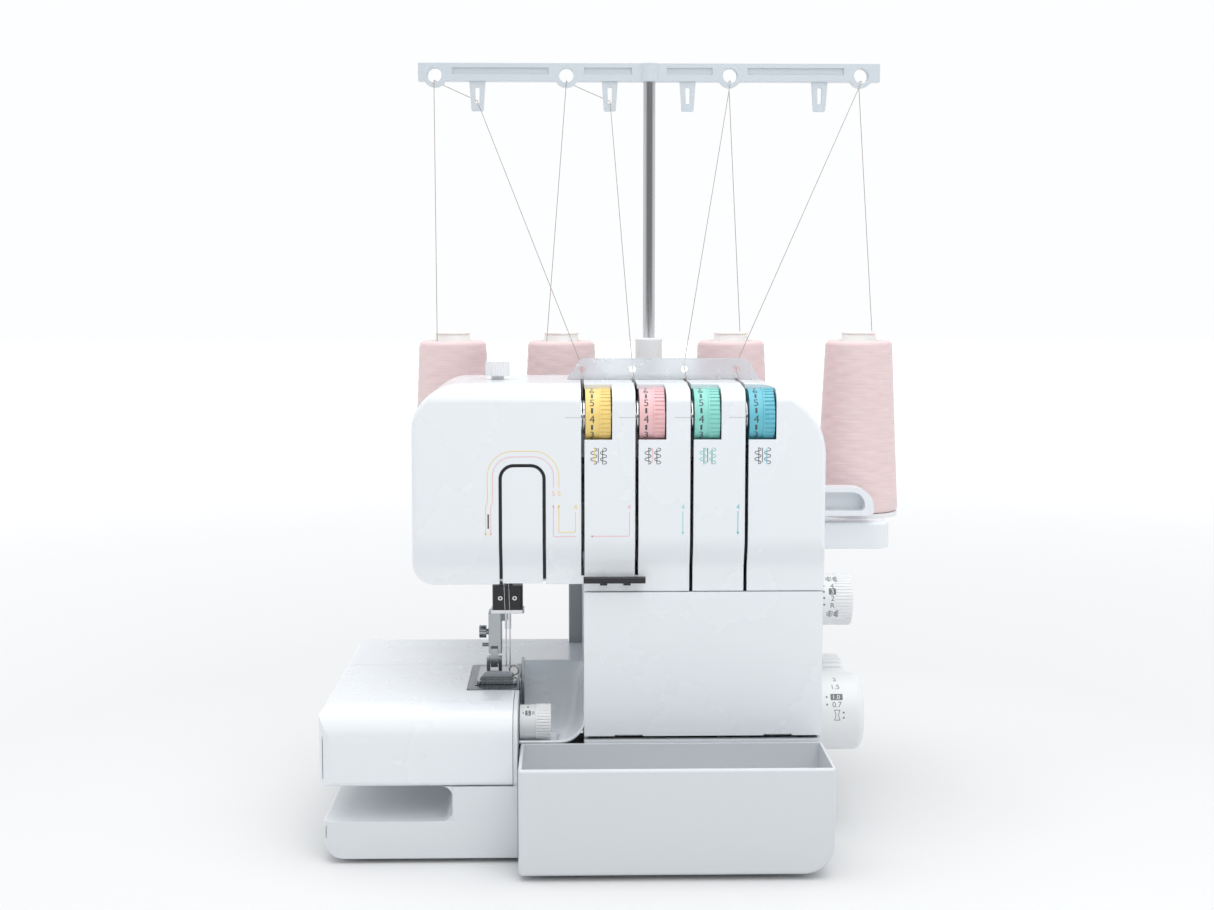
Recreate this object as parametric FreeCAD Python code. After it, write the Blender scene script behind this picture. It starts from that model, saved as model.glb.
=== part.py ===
import FreeCAD, Part
import math
import os
from FreeCAD import Vector as V

os.makedirs("parts", exist_ok=True)

# A four-thread overlock machine, in millimetres. X runs to the right, Y to the back and Z up.
# The origin is under the middle of the machine, on the surface that it stands on.

# ---- driving sizes: the body -------------------------------------------------------------
WALL = 2.5              # thickness of every moulded cover
SEAM = 0.3              # gap between two covers
FOOT = 3.0              # height of the rubber feet under the base
BED_LEFT = -189.0       # left end of the free arm
BED_FRONT = -106.0
BED_BACK = 90.0
BED_TOP = 93.5
BED_UNDER = 46.6        # underside of the free arm
BED_RIGHT = -71.3       # right end of the free arm
BED_SEAM = 12.0         # where the removable cover meets the fixed rear bed
SLOT_FLOOR = 25.3       # top of the base under the free arm
SLOT_END = -110.0       # right end of the space under the free arm
BODY_LEFT = -31.7       # left side of the column
BODY_RIGHT = 112.5      # right side of the column and of the head
BODY_FRONT = -79.0      # inner face of the front cover
BODY_BACK = 90.0
HEAD_LEFT = -134.0
HEAD_FRONT = -86.0
HEAD_LIP = -80.5        # the recessed lip along the head's lower edge
HEAD_BACK = 38.0
HEAD_TOP = 282.0
HEAD_BOTTOM = 163.0     # under the overhanging arm
SEAM_Z = 158.5          # joint between head cover and front cover
TRAY_TOP = 66.0
TRAY_FRONT = -140.0
TRAY_BACK = -83.0
TRAY_LEFT = -70.0
TRAY_LIFT = 3.4         # the tray hangs this far above the table

# ---- driving sizes: thread path ----------------------------------------------------------
SLOT_X = (-32.3, -0.2, 32.5, 65.1)      # the four tension slots
SLOT_WIDE = 2.0
DIAL_R = 17.5
DIAL_Y = -68.5
DIAL_Z = HEAD_TOP - 19.5
WINDOW_DROP = 12.2      # from the dial axis down to its window's lower edge
DIAL_WIDE = 15.0
DIAL_GAP = 1.6          # from the slot's middle to the dial
TAKE_UP_X = (-80.3, -56.3)
TAKE_UP_TOP = HEAD_TOP - 48.0
TAKE_UP_GAP = 2.0
GUIDE_Y = -15.0
GUIDE_HOLE_Z = HEAD_TOP + 6.5
STAND_Z = (164.0, 182.0)
STAND_X = (-138.0, 177.0)
STAND_Y = (45.0, 140.0)
CONE_X = (-120.6, -45.7, 71.6, 160.5)
CONE_Y = 90.0
CONE_Z = (185.0, 303.0)
CONE_R = (28.5, 23.0)
CONE_TUBE_TOP = 309.0
POLE_X = 14.7
POLE_R = 4.15
POLE_ROD_R = 3.2
BAR_Z = (479.0, 491.0)
BAR_HALF = 157.0
BAR_Y = (86.0, 94.0)
EYE_OFFSET = (-146.0, -56.6, 54.8, 144.3)
HOOK_OFFSET = (-117.0, -27.0, 26.0, 116.0)
EYE_Z = 483.0
EYE_R = 5.0
TREE_DROP = 100.0       # how far the thread tree telescopes down
THREAD_R = 0.25

# ---- driving sizes: drive and stitch forming ---------------------------------------------
RUN = 0.06              # radial clearance of a running fit
SHAFT_R = 5.0
SHAFT_Y = 25.0
SHAFT_Z = 72.0
PULLEY_R = 28.0
PULLEY_X = (60.0, 72.0)
MOTOR_R = 26.0
MOTOR_PULLEY_R = 9.0
MOTOR_Y = -28.0
MOTOR_Z = 45.0
WHEEL_R = 24.0
NEEDLE_X = -79.3
NEEDLE_Y = -28.0
NEEDLE_BAR_R = 3.2
NEEDLE_PITCH = 2.4
NEEDLE_TIP = 100.0
CLAMP_Z = (136.6, 154.0)
PRESSER_X = -85.5
PRESSER_Y = -12.0
PRESSER_R = 3.5
SPRING_Z = (HEAD_TOP - 42.0, HEAD_TOP - 24.0)  # between the presser bar and the pressure screw
PLATE_X = (-103.5, -72.0)
PLATE_Y = (-60.0, 8.0)
PLATE_T = 2.2
LENGTH_DIAL = (-12.0, 140.5, 16.6, 26.0)     # y, z, radius, width
FEED_DIAL = (-30.0, 72.0, 24.5, 30.0)
WIDTH_DIAL = (-70.0, 76.0, 11.0, 19.0)
STUB_R = 3.0            # the stub shafts of the setting dials
LIFTER_X = -83.0
LIFTER_Z = HEAD_TOP - 60.0


# ---- small tools -------------------------------------------------------------------------
def block(x, y, z):
    """A box from its low and high X, Y and Z."""
    return Part.makeBox(x[1] - x[0], y[1] - y[0], z[1] - z[0], V(x[0], y[0], z[0]))


def rod(radius, start, end):
    """A round bar between two points."""
    a, b = V(*start), V(*end)
    return Part.makeCylinder(radius, (b - a).Length, a, b - a)


def tube(outer, inner, start, end):
    return rod(outer, start, end).cut(rod(inner, start, end))


def cone(radii, x, y, z):
    """An upright cone with its two radii and its low and high Z."""
    return Part.makeCone(radii[0], radii[1], z[1] - z[0], V(x, y, z[0]))


def join(shapes):
    whole = shapes[0]
    for shape in shapes[1:]:
        whole = whole.fuse(shape)
    return whole.removeSplitter()


def cut_all(shape, tools):
    for tool in tools:
        shape = shape.cut(tool)
    return shape


def rounded_wire(corners, place):
    """A closed wire through corners (u, v, radius); place turns u, v into a point."""
    edges = []
    points = [V(u, v, 0) for u, v, _ in corners]
    starts, ends, middles = [], [], []
    for i, corner in enumerate(points):
        before = (points[i - 1] - corner).normalize()
        after = (points[(i + 1) % len(points)] - corner).normalize()
        radius = corners[i][2]
        half = before.getAngle(after) / 2
        reach = radius / math.tan(half) if radius else 0
        starts.append(corner + before * reach)
        ends.append(corner + after * reach)
        inward = (before + after)
        if radius and inward.Length > 1e-9:
            inward = inward.normalize()
            middles.append(corner + inward * (radius / math.sin(half) - radius))
        else:
            middles.append(None)
    for i, middle in enumerate(middles):
        if middle is not None:
            edges.append(Part.Arc(place(starts[i]), place(middle), place(ends[i])).toShape())
        following = starts[(i + 1) % len(starts)]
        if (following - ends[i]).Length > 1e-6:
            edges.append(Part.LineSegment(place(ends[i]), place(following)).toShape())
    return Part.Wire(edges)


def along_x(corners, x):
    """The (y, z, radius) outline carried from x[0] to x[1]."""
    wire = rounded_wire(corners, lambda p: V(x[0], p.x, p.y))
    return Part.Face(wire).extrude(V(x[1] - x[0], 0, 0))


def along_y(corners, y):
    """The (x, z, radius) outline carried from y[0] to y[1]."""
    wire = rounded_wire(corners, lambda p: V(p.x, y[0], p.y))
    return Part.Face(wire).extrude(V(0, y[1] - y[0], 0))


def along_z(corners, z):
    """The (x, y, radius) outline carried from z[0] to z[1]."""
    wire = rounded_wire(corners, lambda p: V(p.x, p.y, z[0]))
    return Part.Face(wire).extrude(V(0, 0, z[1] - z[0]))


def rectangle(u, v, radii):
    """Four corners of a rectangle, from low u, low v round to low u, high v."""
    return [(u[0], v[0], radii[0]), (u[1], v[0], radii[1]), (u[1], v[1], radii[2]), (u[0], v[1], radii[3])]


def soften(shape, radius, chosen):
    """Round the edges for which chosen(edge) is true."""
    edges = [edge for edge in shape.Edges if chosen(edge)]
    return shape.makeFillet(radius, edges) if edges else shape


def save(name, shape):
    shape.exportStep("parts/" + name + ".step")


# ---- base and bed ------------------------------------------------------------------------
def arm_profile(inset):
    """The free arm's section: a large round on the upper front edge."""
    low = BED_UNDER + inset
    return [(BED_FRONT + inset, low, 3.0), (BED_BACK + 20, low, 0), (BED_BACK + 20, BED_TOP - inset, 0),
            (BED_FRONT + inset, BED_TOP - inset, 20.0 - inset)]


COVER_RIGHT = BED_RIGHT - WALL - SEAM    # right end of the removable cover


def free_arm_cover():
    ends = (BED_LEFT, COVER_RIGHT)
    sides = (BED_FRONT, BED_SEAM)
    outer = along_x(arm_profile(0), ends)
    outer = outer.common(along_z(rectangle(ends, sides, (9, 0, 0, 0)), (0, BED_TOP + 1)))
    outer = outer.common(along_y(rectangle(ends, (BED_UNDER, BED_TOP), (5, 0, 0, 7)), sides))
    inner = along_x(arm_profile(WALL), (BED_LEFT + WALL, COVER_RIGHT + 1))
    inner = inner.common(block((BED_LEFT, 0), (BED_FRONT, BED_SEAM - WALL), (0, BED_TOP)))
    plate = block((PLATE_X[0] - SEAM, 0), (PLATE_Y[0] - SEAM, PLATE_Y[1] + SEAM), (BED_TOP - 9, BED_TOP + 9))
    grip = block((COVER_RIGHT - 22, 0), (PLATE_Y[0] + 4, BED_SEAM + 1), (BED_UNDER - 1, BED_TOP - 9))
    return cut_all(outer, [inner, plate, grip])


def rear_bed():
    low = BED_SEAM + SEAM
    chute = BED_SEAM + 11
    def outline(inset):
        return [(BED_LEFT + inset, low + inset, 0), (BED_RIGHT, low + inset, 0), (BED_RIGHT, chute + inset,
                                                                                  0),
                (BODY_LEFT - inset, chute + inset, 0), (BODY_LEFT - inset, BED_BACK - inset, 0),
                (BED_LEFT + inset, BED_BACK - inset, 10.0 - inset)]
    outer = along_z(outline(0), (BED_UNDER, BED_TOP))
    outer = outer.common(along_y(rectangle((BED_LEFT, BODY_LEFT), (BED_UNDER, BED_TOP), (5, 0, 0, 7)),
                                 (low, BED_BACK)))
    inner = along_z(outline(WALL), (BED_UNDER + WALL, BED_TOP - WALL))
    guard = block((THROAT_X[0] - SEAM, BODY_LEFT + 1), (THROAT_Y[0] - SEAM, BED_BACK + 1), (BED_UNDER - 1,
                                                                                            BED_TOP + 1))
    return outer.cut(inner).cut(guard)


THROAT_X = (-41.0, BODY_LEFT - 0.1)
THROAT_Y = (78.0, BED_BACK)


def throat_guard():
    """A flat grey post on the column's rear left corner."""
    outer = along_z(rectangle(THROAT_X, THROAT_Y, (1.5, 0, 0, 3)), (BED_UNDER, SEAM_Z))
    return outer.cut(block((THROAT_X[0] + WALL, 0), (THROAT_Y[0] + WALL, THROAT_Y[1] - WALL),
                           (0, SEAM_Z - WALL)))


def base_cover():
    """The base moulding: a low box under the free arm, a raised box beside it and the floor of the column."""
    ends, sides = (BED_LEFT + 1.4, BED_RIGHT), (BED_FRONT, BED_BACK)
    low = along_y(rectangle(ends, (FOOT, SLOT_FLOOR), (14, 0, 0, 3)), sides)
    low = low.common(along_z(rectangle(ends, sides, (9, 0, 0, 9)), (0, SLOT_FLOOR)))
    hollow = along_y(rectangle((ends[0] + WALL, ends[1] - WALL), (FOOT + WALL, SLOT_FLOOR - WALL),
                               (11.5, 0, 0, 1)),
                     (sides[0] + WALL, sides[1] - WALL))
    raised = along_z(rectangle((SLOT_END, BED_RIGHT), sides, (1, 0, 0, 1)), (FOOT, BED_UNDER - SEAM))
    corner, gap = 6.0, (SLOT_FLOOR, BED_UNDER - SEAM)
    throat = block((SLOT_END - corner, SLOT_END), (sides[0] + 1, sides[1] - 1), (gap[0] - 1, gap[1]))
    for z in (gap[0] + corner, gap[1] - corner):
        throat = throat.cut(rod(corner, (SLOT_END - corner, sides[0], z), (SLOT_END - corner, sides[1], z)))
    throat = throat.cut(block((SLOT_END - corner - 1, SLOT_END), sides, (gap[0] + corner, gap[1] - corner)))
    well = block((SLOT_END + WALL, BED_RIGHT - WALL), (sides[0] + WALL, sides[1] - WALL), (FOOT + WALL,
                                                                                           BED_UNDER))
    end_wall = along_x(arm_profile(0), (BED_RIGHT - WALL, BED_RIGHT))
    end_wall = end_wall.common(block((BED_LEFT, 0), (BED_FRONT, PLATE_Y[0] - 1), (0, BED_TOP)))
    end_wall = end_wall.fuse(block((BED_RIGHT - WALL, BED_RIGHT), (BED_FRONT + 1, PLATE_Y[0] - 1),
                                   (FOOT + 10, BED_UNDER + 5)))
    floor = block((BED_RIGHT - WALL, BODY_RIGHT - WALL - SEAM), (BODY_FRONT + 0.5, BODY_BACK - WALL - SEAM),
                  (FOOT, FOOT + 3.5))
    front = block((BODY_LEFT, BODY_RIGHT - WALL - SEAM), (BODY_FRONT + 0.5, BODY_FRONT + 3),
                  (FOOT, TRAY_TOP + 1.5))
    lip_z = (TRAY_TOP - 8, HINGE_Z - 3.6)
    front = front.fuse(block((BODY_LEFT, BODY_RIGHT - WALL - SEAM), (BODY_FRONT - 3.2, BODY_FRONT + 1),
                             lip_z))
    front_low = block((BED_RIGHT - WALL, BODY_LEFT), (BODY_FRONT + 0.5, BODY_FRONT + 3), (FOOT, TRAY_TOP - 5))
    whole = join([low, raised, throat, end_wall, floor, front, front_low])
    y, z = WIDTH_DIAL[:2]
    dial = rod(STUB_R + RUN, (BED_RIGHT - 10, y, z), (BED_RIGHT + 10, y, z))
    pass_through = block((BED_RIGHT - WALL - 1, BED_RIGHT + 1), (BODY_FRONT + 6, BODY_BACK - 10),
                         (FOOT + 6, BED_UNDER + 1))
    return cut_all(whole, [hollow, well, dial, pass_through])


def rubber_feet():
    spots = [(BED_LEFT + 22, BED_FRONT + 26), (BED_LEFT + 22, BED_BACK - 22),
             (BODY_RIGHT - 20, BODY_FRONT + 22), (BODY_RIGHT - 20, BODY_BACK - 22)]
    return Part.makeCompound([rod(9.0, (x, y, 0), (x, y, FOOT)) for x, y in spots])


CHUTE_X = (BED_RIGHT + SEAM, BODY_LEFT - SEAM)


def trim_chute():
    """A sloping, hollowed sheet that leads the trimmings forward into the tray."""
    start, end = (BED_SEAM + 10.7, BED_TOP - 0.1), (BODY_FRONT - 3, TRAY_TOP + 1.2)
    dip = (-22.0, TRAY_TOP + 8.0)
    def curve(drop):
        points = [V(0, start[0], start[1] - drop), V(0, dip[0], dip[1] - drop), V(0, end[0], end[1] - drop)]
        spline = Part.BSplineCurve()
        spline.interpolate(points)
        return spline.toShape()
    top, under = curve(0), curve(2.0)
    back = Part.LineSegment(V(0, start[0], start[1] - 2), V(0, start[0], start[1])).toShape()
    front = Part.LineSegment(V(0, end[0], end[1]), V(0, end[0], end[1] - 2)).toShape()
    sheet = Part.Face(Part.Wire(Part.__sortEdges__([top, front, under, back])))
    sheet = sheet.extrude(V(CHUTE_X[1] - CHUTE_X[0], 0, 0))
    sheet.translate(V(CHUTE_X[0], 0, 0))
    y, _, radius, width = WIDTH_DIAL
    dial = block((BED_RIGHT - 1, BED_RIGHT + width + 2.5), (y - radius - 8, y + radius + 2), (0, 200))
    knife = block((BED_RIGHT - 1, KNIFE_X[1] + 1.2), (KNIFE_Y[0] - 2, KNIFE_Y[1] + 2), (0, 200))
    return sheet.cut(dial).cut(knife)


def trim_tray():
    sides = (TRAY_LEFT, BODY_RIGHT)
    outer = along_y(rectangle(sides, (TRAY_LIFT, TRAY_TOP), (3, 18, 1, 1)), (TRAY_FRONT, TRAY_BACK))
    outer = soften(outer, 2.0, lambda e: abs(e.BoundBox.YMin - TRAY_FRONT) < 0.01 and e.BoundBox.YLength < 0.01
                   and e.BoundBox.ZMin < TRAY_TOP - 2)
    inner = along_y(rectangle((sides[0] + 2, sides[1] - 2), (TRAY_LIFT + 2, TRAY_TOP + 9), (1.5, 16, 0, 0)),
                    (TRAY_FRONT + 2, TRAY_BACK - 2))
    return outer.cut(inner)


# ---- head and column covers --------------------------------------------------------------
def head_section(inset, low):
    """The head's side view: flat face, a roll inward and a recessed lip below it."""
    front, lip = HEAD_FRONT + inset, HEAD_LIP + inset
    top = HEAD_TOP - inset
    return [(front, top - 2.5, 9.0), (front + 34, top, 60.0), (HEAD_BACK + (1 if inset else 0), top, 0),
            (HEAD_BACK + (1 if inset else 0), low, 0), (lip, low, 0), (lip, 174.0, 12.0), (front, 188.0,
                                                                                           24.0)]


def head_outline(inset, low):
    """The head's front view: two wide shoulders of different radius."""
    left, right, top = HEAD_LEFT + inset, BODY_RIGHT - inset, HEAD_TOP - inset
    return [(left, top, 27.0 - inset), (right, top, 42.0 - inset), (right, low[1], 0), (BODY_LEFT, low[1], 0),
            (BODY_LEFT, low[0], 0), (left, low[0], 13.0 - inset if not inset else 8.0)]


def head_solid(inset, low, sides):
    section = along_x(head_section(inset, min(low) - 0.5), (HEAD_LEFT - 5, BODY_RIGHT + 5))
    front = along_y(head_outline(inset, low), sides)
    rim = [e for e in front.Edges if e.BoundBox.YMax < sides[0] + 0.01 and e.BoundBox.ZMax > HEAD_BOTTOM + 9]
    return section.common(front.makeFillet(4.0, rim)) if inset == 0 else section.common(front)


def dial_window(x):
    return block((x + SLOT_WIDE / 2 - 0.1, x + DIAL_GAP + DIAL_WIDE + 0.8), (HEAD_FRONT - 5, DIAL_Y + 10),
                 (DIAL_Z - WINDOW_DROP, HEAD_TOP + 5))


def take_up_shape(gap, y):
    """The arched take-up panel, or the opening that leaves a gap round it."""
    x = (TAKE_UP_X[0] - gap, TAKE_UP_X[1] + gap)
    low = HEAD_BOTTOM - (5 if gap else -0.5)
    return along_y([(x[0], low, 0), (x[1], low, 0), (x[1], TAKE_UP_TOP + gap, 7 + gap),
                    (x[0], TAKE_UP_TOP + gap, 7 + gap)], y)


def head_cover():
    outer = head_solid(0, (HEAD_BOTTOM, SEAM_Z), (HEAD_FRONT, HEAD_BACK))
    inner = head_solid(WALL, (HEAD_BOTTOM + WALL, SEAM_Z - 5), (HEAD_FRONT - 5, HEAD_BACK + 5))
    tools = [inner]
    for index, x in enumerate(SLOT_X):
        low = 168.0 if index < 2 else SEAM_Z - 5
        tools.append(block((x - SLOT_WIDE / 2, x + SLOT_WIDE / 2), (HEAD_FRONT - 5, GUIDE_Y + 3),
                           (low, HEAD_TOP + 5)))
        tools.append(dial_window(x))
    tools.append(take_up_shape(TAKE_UP_GAP, (HEAD_FRONT - 5, HEAD_LIP + 12)))
    tools.append(block((NEEDLE_X - 19, NEEDLE_X + 16), (NEEDLE_Y - 30, PRESSER_Y + 14), (HEAD_BOTTOM - 5,
                                                                                         HEAD_BOTTOM + 6)))
    tools.append(rod(4.3, (PRESSER_X, PRESSER_Y, HEAD_TOP - 9), (PRESSER_X, PRESSER_Y, HEAD_TOP + 9)))
    return cut_all(outer, tools)


def take_up_panel():
    panel = head_solid(0, (HEAD_BOTTOM, SEAM_Z), (HEAD_FRONT, HEAD_BACK))
    panel = panel.common(take_up_shape(0, (HEAD_FRONT - 5, HEAD_LIP + 0.5)))
    back = block((TAKE_UP_X[0], TAKE_UP_X[1]), (HEAD_LIP + 0.5, HEAD_LIP + 3), (HEAD_BOTTOM + 8,
                                                                                TAKE_UP_TOP + 12))
    foot = block((TAKE_UP_X[0] + 9, TAKE_UP_X[1] - 9), (HEAD_LIP + 3, -48.0), (TAKE_UP_TOP + 4,
                                                                               TAKE_UP_TOP + 10))
    hollow = head_solid(WALL + 0.5, (HEAD_BOTTOM, SEAM_Z), (HEAD_FRONT - 5, HEAD_BACK))
    inside = block((TAKE_UP_X[0] + 2.5, TAKE_UP_X[1] - 2.5), (HEAD_FRONT, HEAD_LIP + 0.5), (HEAD_BOTTOM - 1,
                                                                                            TAKE_UP_TOP - 3))
    return join([panel.cut(hollow.common(inside)), back, foot])


def rear_cover():
    """Back plate of the head, ledge under the spool stand, back and left side of the column."""
    plate = along_y(head_outline(0, (HEAD_BOTTOM, SEAM_Z)), (HEAD_BACK + SEAM, HEAD_BACK + SEAM + WALL))
    back_y = HEAD_BACK + SEAM
    ledge = block((BODY_LEFT, BODY_RIGHT - WALL - SEAM), (back_y, BODY_BACK), (SEAM_Z - 1, SEAM_Z + 1.5))
    back = block((BODY_LEFT, BODY_RIGHT - WALL - SEAM), (BODY_BACK - WALL, BODY_BACK), (FOOT, SEAM_Z + 1.5))
    side = block((BODY_LEFT, BODY_LEFT + WALL), (BODY_FRONT + 0.3, BODY_BACK - 1), (FOOT + 4, SEAM_Z - SEAM))
    side = side.cut(hinge_relief((BODY_LEFT - 1, BODY_LEFT + WALL + 1)))
    handle = along_y(rectangle((30.0, 164.0), (187.0, 206.5), (3, 3, 14, 3)), (back_y + WALL - 0.5,
                                                                               STAND_Y[0] + 9))
    grip = along_y(rectangle((112.0, 158.0), (190.5, 203.0), (3, 3, 9, 3)), (back_y, STAND_Y[0] + 5.5))
    whole = join([plate, ledge, back, side, handle.cut(grip)])
    shafts = block((BODY_LEFT - 1, BODY_LEFT + WALL + 1), (PLATE_Y[0] - 2, PLATE_Y[1] + 2), (30.0, 73.0))
    front = block((BODY_LEFT - 1, BODY_LEFT + WALL + 1), (BODY_FRONT - 1, BODY_FRONT + 3.3),
                  (0, TRAY_TOP + 1.8))
    lever = block((LIFTER_X - 4, LIFTER_X + 4), (HEAD_BACK - 5, HEAD_BACK + 9), (LIFTER_Z - 12,
                                                                                 LIFTER_Z + 24))
    vents = [block((x, x + 3), (BODY_BACK - 9, BODY_BACK + 9), (40.0, 78.0)) for x in range(20, 90, 8)]
    return join([cut_all(whole, [shafts, front, lever] + vents), lifter_bracket()])


def hinge_relief(x):
    """Room behind the cover's hinge for its lower edge to swing through."""
    return block(x, (BODY_FRONT - 1, HINGE_Y + HINGE_SWING), (HINGE_Z - HINGE_FALL, HINGE_Z + HINGE_FALL))


def side_cover():
    """The column's right side, with holes for the wheel and the two setting dials."""
    shape = along_x(rectangle((BODY_FRONT + 0.5, BODY_BACK), (FOOT, SEAM_Z - SEAM), (4, 8, 3, 0)),
                    (BODY_RIGHT - WALL, BODY_RIGHT))
    x = (BODY_RIGHT - 9, BODY_RIGHT + 9)
    tools = [hinge_relief(x), rod(SHAFT_R + 1, (x[0], SHAFT_Y, SHAFT_Z), (x[1], SHAFT_Y, SHAFT_Z))]
    for y, z, _, _ in (LENGTH_DIAL, FEED_DIAL):
        tools.append(rod(STUB_R + 1, (x[0], y, z), (x[1], y, z)))
    tools.append(block(x, (SWITCH_Y - 6.3, SWITCH_Y + 6.3), (SWITCH_Z - 10.3, SWITCH_Z + 10.3)))
    tools.append(block(x, (SWITCH_Y - 11.2, SWITCH_Y + 11.2), (INLET_Z - 7.2, INLET_Z + 7.2)))
    return cut_all(shape, tools)


SWITCH_Y = 66.0
SWITCH_Z = 46.0
INLET_Z = 24.0
COVER_Z = (TRAY_TOP + 4.0, SEAM_Z - 0.4)
HINGE_Y = BODY_FRONT - 0.4
HINGE_R = 1.9           # outside of the hinge knuckles
HINGE_SWING = 1.7       # how far behind the hinge axis the cover's lower edge swings, with room
HINGE_Z = TRAY_TOP + 5.4


HINGE_LONG = 14.0       # length of a hinge knuckle
HINGE_ROOM = 1.5        # gap in the cover on both sides of a knuckle
HINGE_FALL = 3.8        # room above and below the hinge line that the cover's edge swings through
HINGE_PIN_R = 1.0
HINGE_LEAF = 0.9        # half the thickness of the leaves that carry the knuckles


def hinge_starts():
    """Left ends of the two hinge knuckles."""
    return (BODY_LEFT + 20, BODY_RIGHT - 20 - HINGE_LONG)


def front_cover():
    """The looper cover: a panel with rolled upper and side edges, hinged along its lower edge."""
    x = (BODY_LEFT, BODY_RIGHT - 0.5)
    panel = along_y(rectangle(x, COVER_Z, (0.5, 0.5, 1.5, 1.5)), (BODY_FRONT - 3.2, BODY_FRONT - 0.1))
    lip = block((x[0] + 6, x[1] - 9), (BODY_FRONT - 1, BODY_FRONT + 5), (COVER_Z[1] - 5, COVER_Z[1] - 2.5))
    latch = block((BODY_RIGHT - 26, BODY_RIGHT - 18), (BODY_FRONT - 1, BODY_FRONT + 9), (SEAM_Z - 34,
                                                                                         SEAM_Z - 26))
    skin = HINGE_Y - HINGE_R - SEAM
    tools = []
    for start in hinge_starts():
        ends = (start - HINGE_ROOM, start + HINGE_LONG + HINGE_ROOM)
        tools.append(block(ends, (skin, BODY_FRONT + 9), (COVER_Z[0] - 1, HINGE_Z + HINGE_R + SEAM)))
        tools.append(block(ends, (BODY_FRONT - 9, BODY_FRONT + 9), (COVER_Z[0] - 1, HINGE_Z - 0.6)))
    barrel = rod(HINGE_PIN_R, (x[0] + 5, HINGE_Y, HINGE_Z), (x[1] - 5, HINGE_Y, HINGE_Z))
    return join([cut_all(join([panel, lip, latch]), tools), barrel])


def cover_carrier():
    """Two hinge knuckles on a rail that slides sideways behind the cover's lower edge."""
    x = (BODY_LEFT, BODY_RIGHT - 0.5)
    parts = [block((x[0] + 6, x[1] - 8), (BODY_FRONT + 3.4, BODY_FRONT + 6), (HINGE_Z - 3, HINGE_Z + 3))]
    tools = []
    for start in hinge_starts():
        end = start + HINGE_LONG
        parts.append(rod(HINGE_R, (start, HINGE_Y, HINGE_Z), (end, HINGE_Y, HINGE_Z)))
        parts.append(block((start, end), (HINGE_Y, BODY_FRONT + 5), (HINGE_Z - HINGE_LEAF,
                                                                     HINGE_Z + HINGE_LEAF)))
        tools.append(rod(HINGE_PIN_R + RUN, (start - 1, HINGE_Y, HINGE_Z), (end + 1, HINGE_Y, HINGE_Z)))
    return cut_all(join(parts), tools)


def thread_guide_plate():
    """An upright trapezoid on the head's top with a keyhole above each tension slot."""
    foot_z = HEAD_TOP
    plate = along_y([(-42.0, foot_z, 0), (80.0, foot_z, 0), (72.0, foot_z + 13.5, 4), (-33.0, foot_z + 13.5,
                                                                                       4)],
                    (GUIDE_Y - 1.1, GUIDE_Y + 1.1))
    foot = block((-40.0, 78.0), (GUIDE_Y + 1.0, GUIDE_Y + 9), (foot_z, foot_z + 1.8))
    entries = [block((x - 1.2, x + 1.2), (GUIDE_Y - 2, GUIDE_Y + 15),
                     (foot_z - 1, GUIDE_HOLE_Z)) for x in SLOT_X]
    holes = [rod(2.2, (x, GUIDE_Y - 5, GUIDE_HOLE_Z), (x, GUIDE_Y + 5, GUIDE_HOLE_Z)) for x in SLOT_X]
    low_part = block((-43.0, 81.0), (GUIDE_Y - 2, GUIDE_Y + 3.2), (foot_z - 1, foot_z + 1.0))
    return cut_all(join([plate, foot]), holes + [entry.common(low_part) for entry in entries])


def lower_thread_guide():
    """A dark wire bar on two feet under the first two slots."""
    z = 166.3
    bar = along_x(rectangle((HEAD_LIP - 7.5, HEAD_LIP - 3.5), (z - 2, z + 2), (1.2, 1.2, 1.2, 1.2)),
                  (-32.0, 5.0))
    feet = [block((x - 2.2, x + 2.2), (HEAD_LIP - 5.5, HEAD_LIP), (z - 3.3, z + 1.0)) for x in (-20.0, -6.0)]
    return join([bar] + feet)


# ---- thread tension ----------------------------------------------------------------------
def tension_dial(x):
    """A thumb wheel: a plain numbered drum on the left and a ridged rim on the right."""
    start = x + DIAL_GAP
    middle, end = start + 0.55 * DIAL_WIDE, start + DIAL_WIDE
    drum = rod(DIAL_R - 0.5, (start, DIAL_Y, DIAL_Z), (middle, DIAL_Y, DIAL_Z))
    rim = rod(DIAL_R, (middle, DIAL_Y, DIAL_Z), (end, DIAL_Y, DIAL_Z))
    grooves = []
    for step in range(40):
        angle = math.radians(step * 9)
        y, z = DIAL_Y + DIAL_R * math.cos(angle), DIAL_Z + DIAL_R * math.sin(angle)
        grooves.append(rod(0.6, (middle + 0.8, y, z), (end + 1, y, z)))
    bore = rod(2.5 + RUN, (start - 1, DIAL_Y, DIAL_Z), (end + 1, DIAL_Y, DIAL_Z))
    return join([drum, rim]).cut(Part.makeCompound(grooves)).cut(bore)


def tension_posts():
    """One bracket behind the face with a steel post through each dial and its discs."""
    left, right = SLOT_X[0] - 10, SLOT_X[3] + DIAL_WIDE + 8
    plate = block((left, right), (-47.0, -44.0), (ARM_Z[1], DIAL_Z + 7.5))
    parts = [plate]
    for x in SLOT_X:
        end = x + DIAL_GAP + DIAL_WIDE + 5.5
        parts.append(rod(2.5, (x - 5, DIAL_Y, DIAL_Z), (end, DIAL_Y, DIAL_Z)))
        parts.append(block((end - 3, end), (DIAL_Y - 4, -45.0), (DIAL_Z - 4, DIAL_Z + 4)))
    parts.append(block((left, right), (-44.5, -12.0), (ARM_Z[1], ARM_Z[1] + 3.0)))
    return join(parts)


def tension_discs():
    """A pair of polished discs each side of every slot."""
    discs = []
    for x in SLOT_X:
        for side in (-1, 1):
            discs.append(tube(10.0, 2.8, (x + side * 0.35, DIAL_Y, DIAL_Z), (x + side * 1.25, DIAL_Y,
                                                                             DIAL_Z)))
    return Part.makeCompound(discs)


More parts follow.
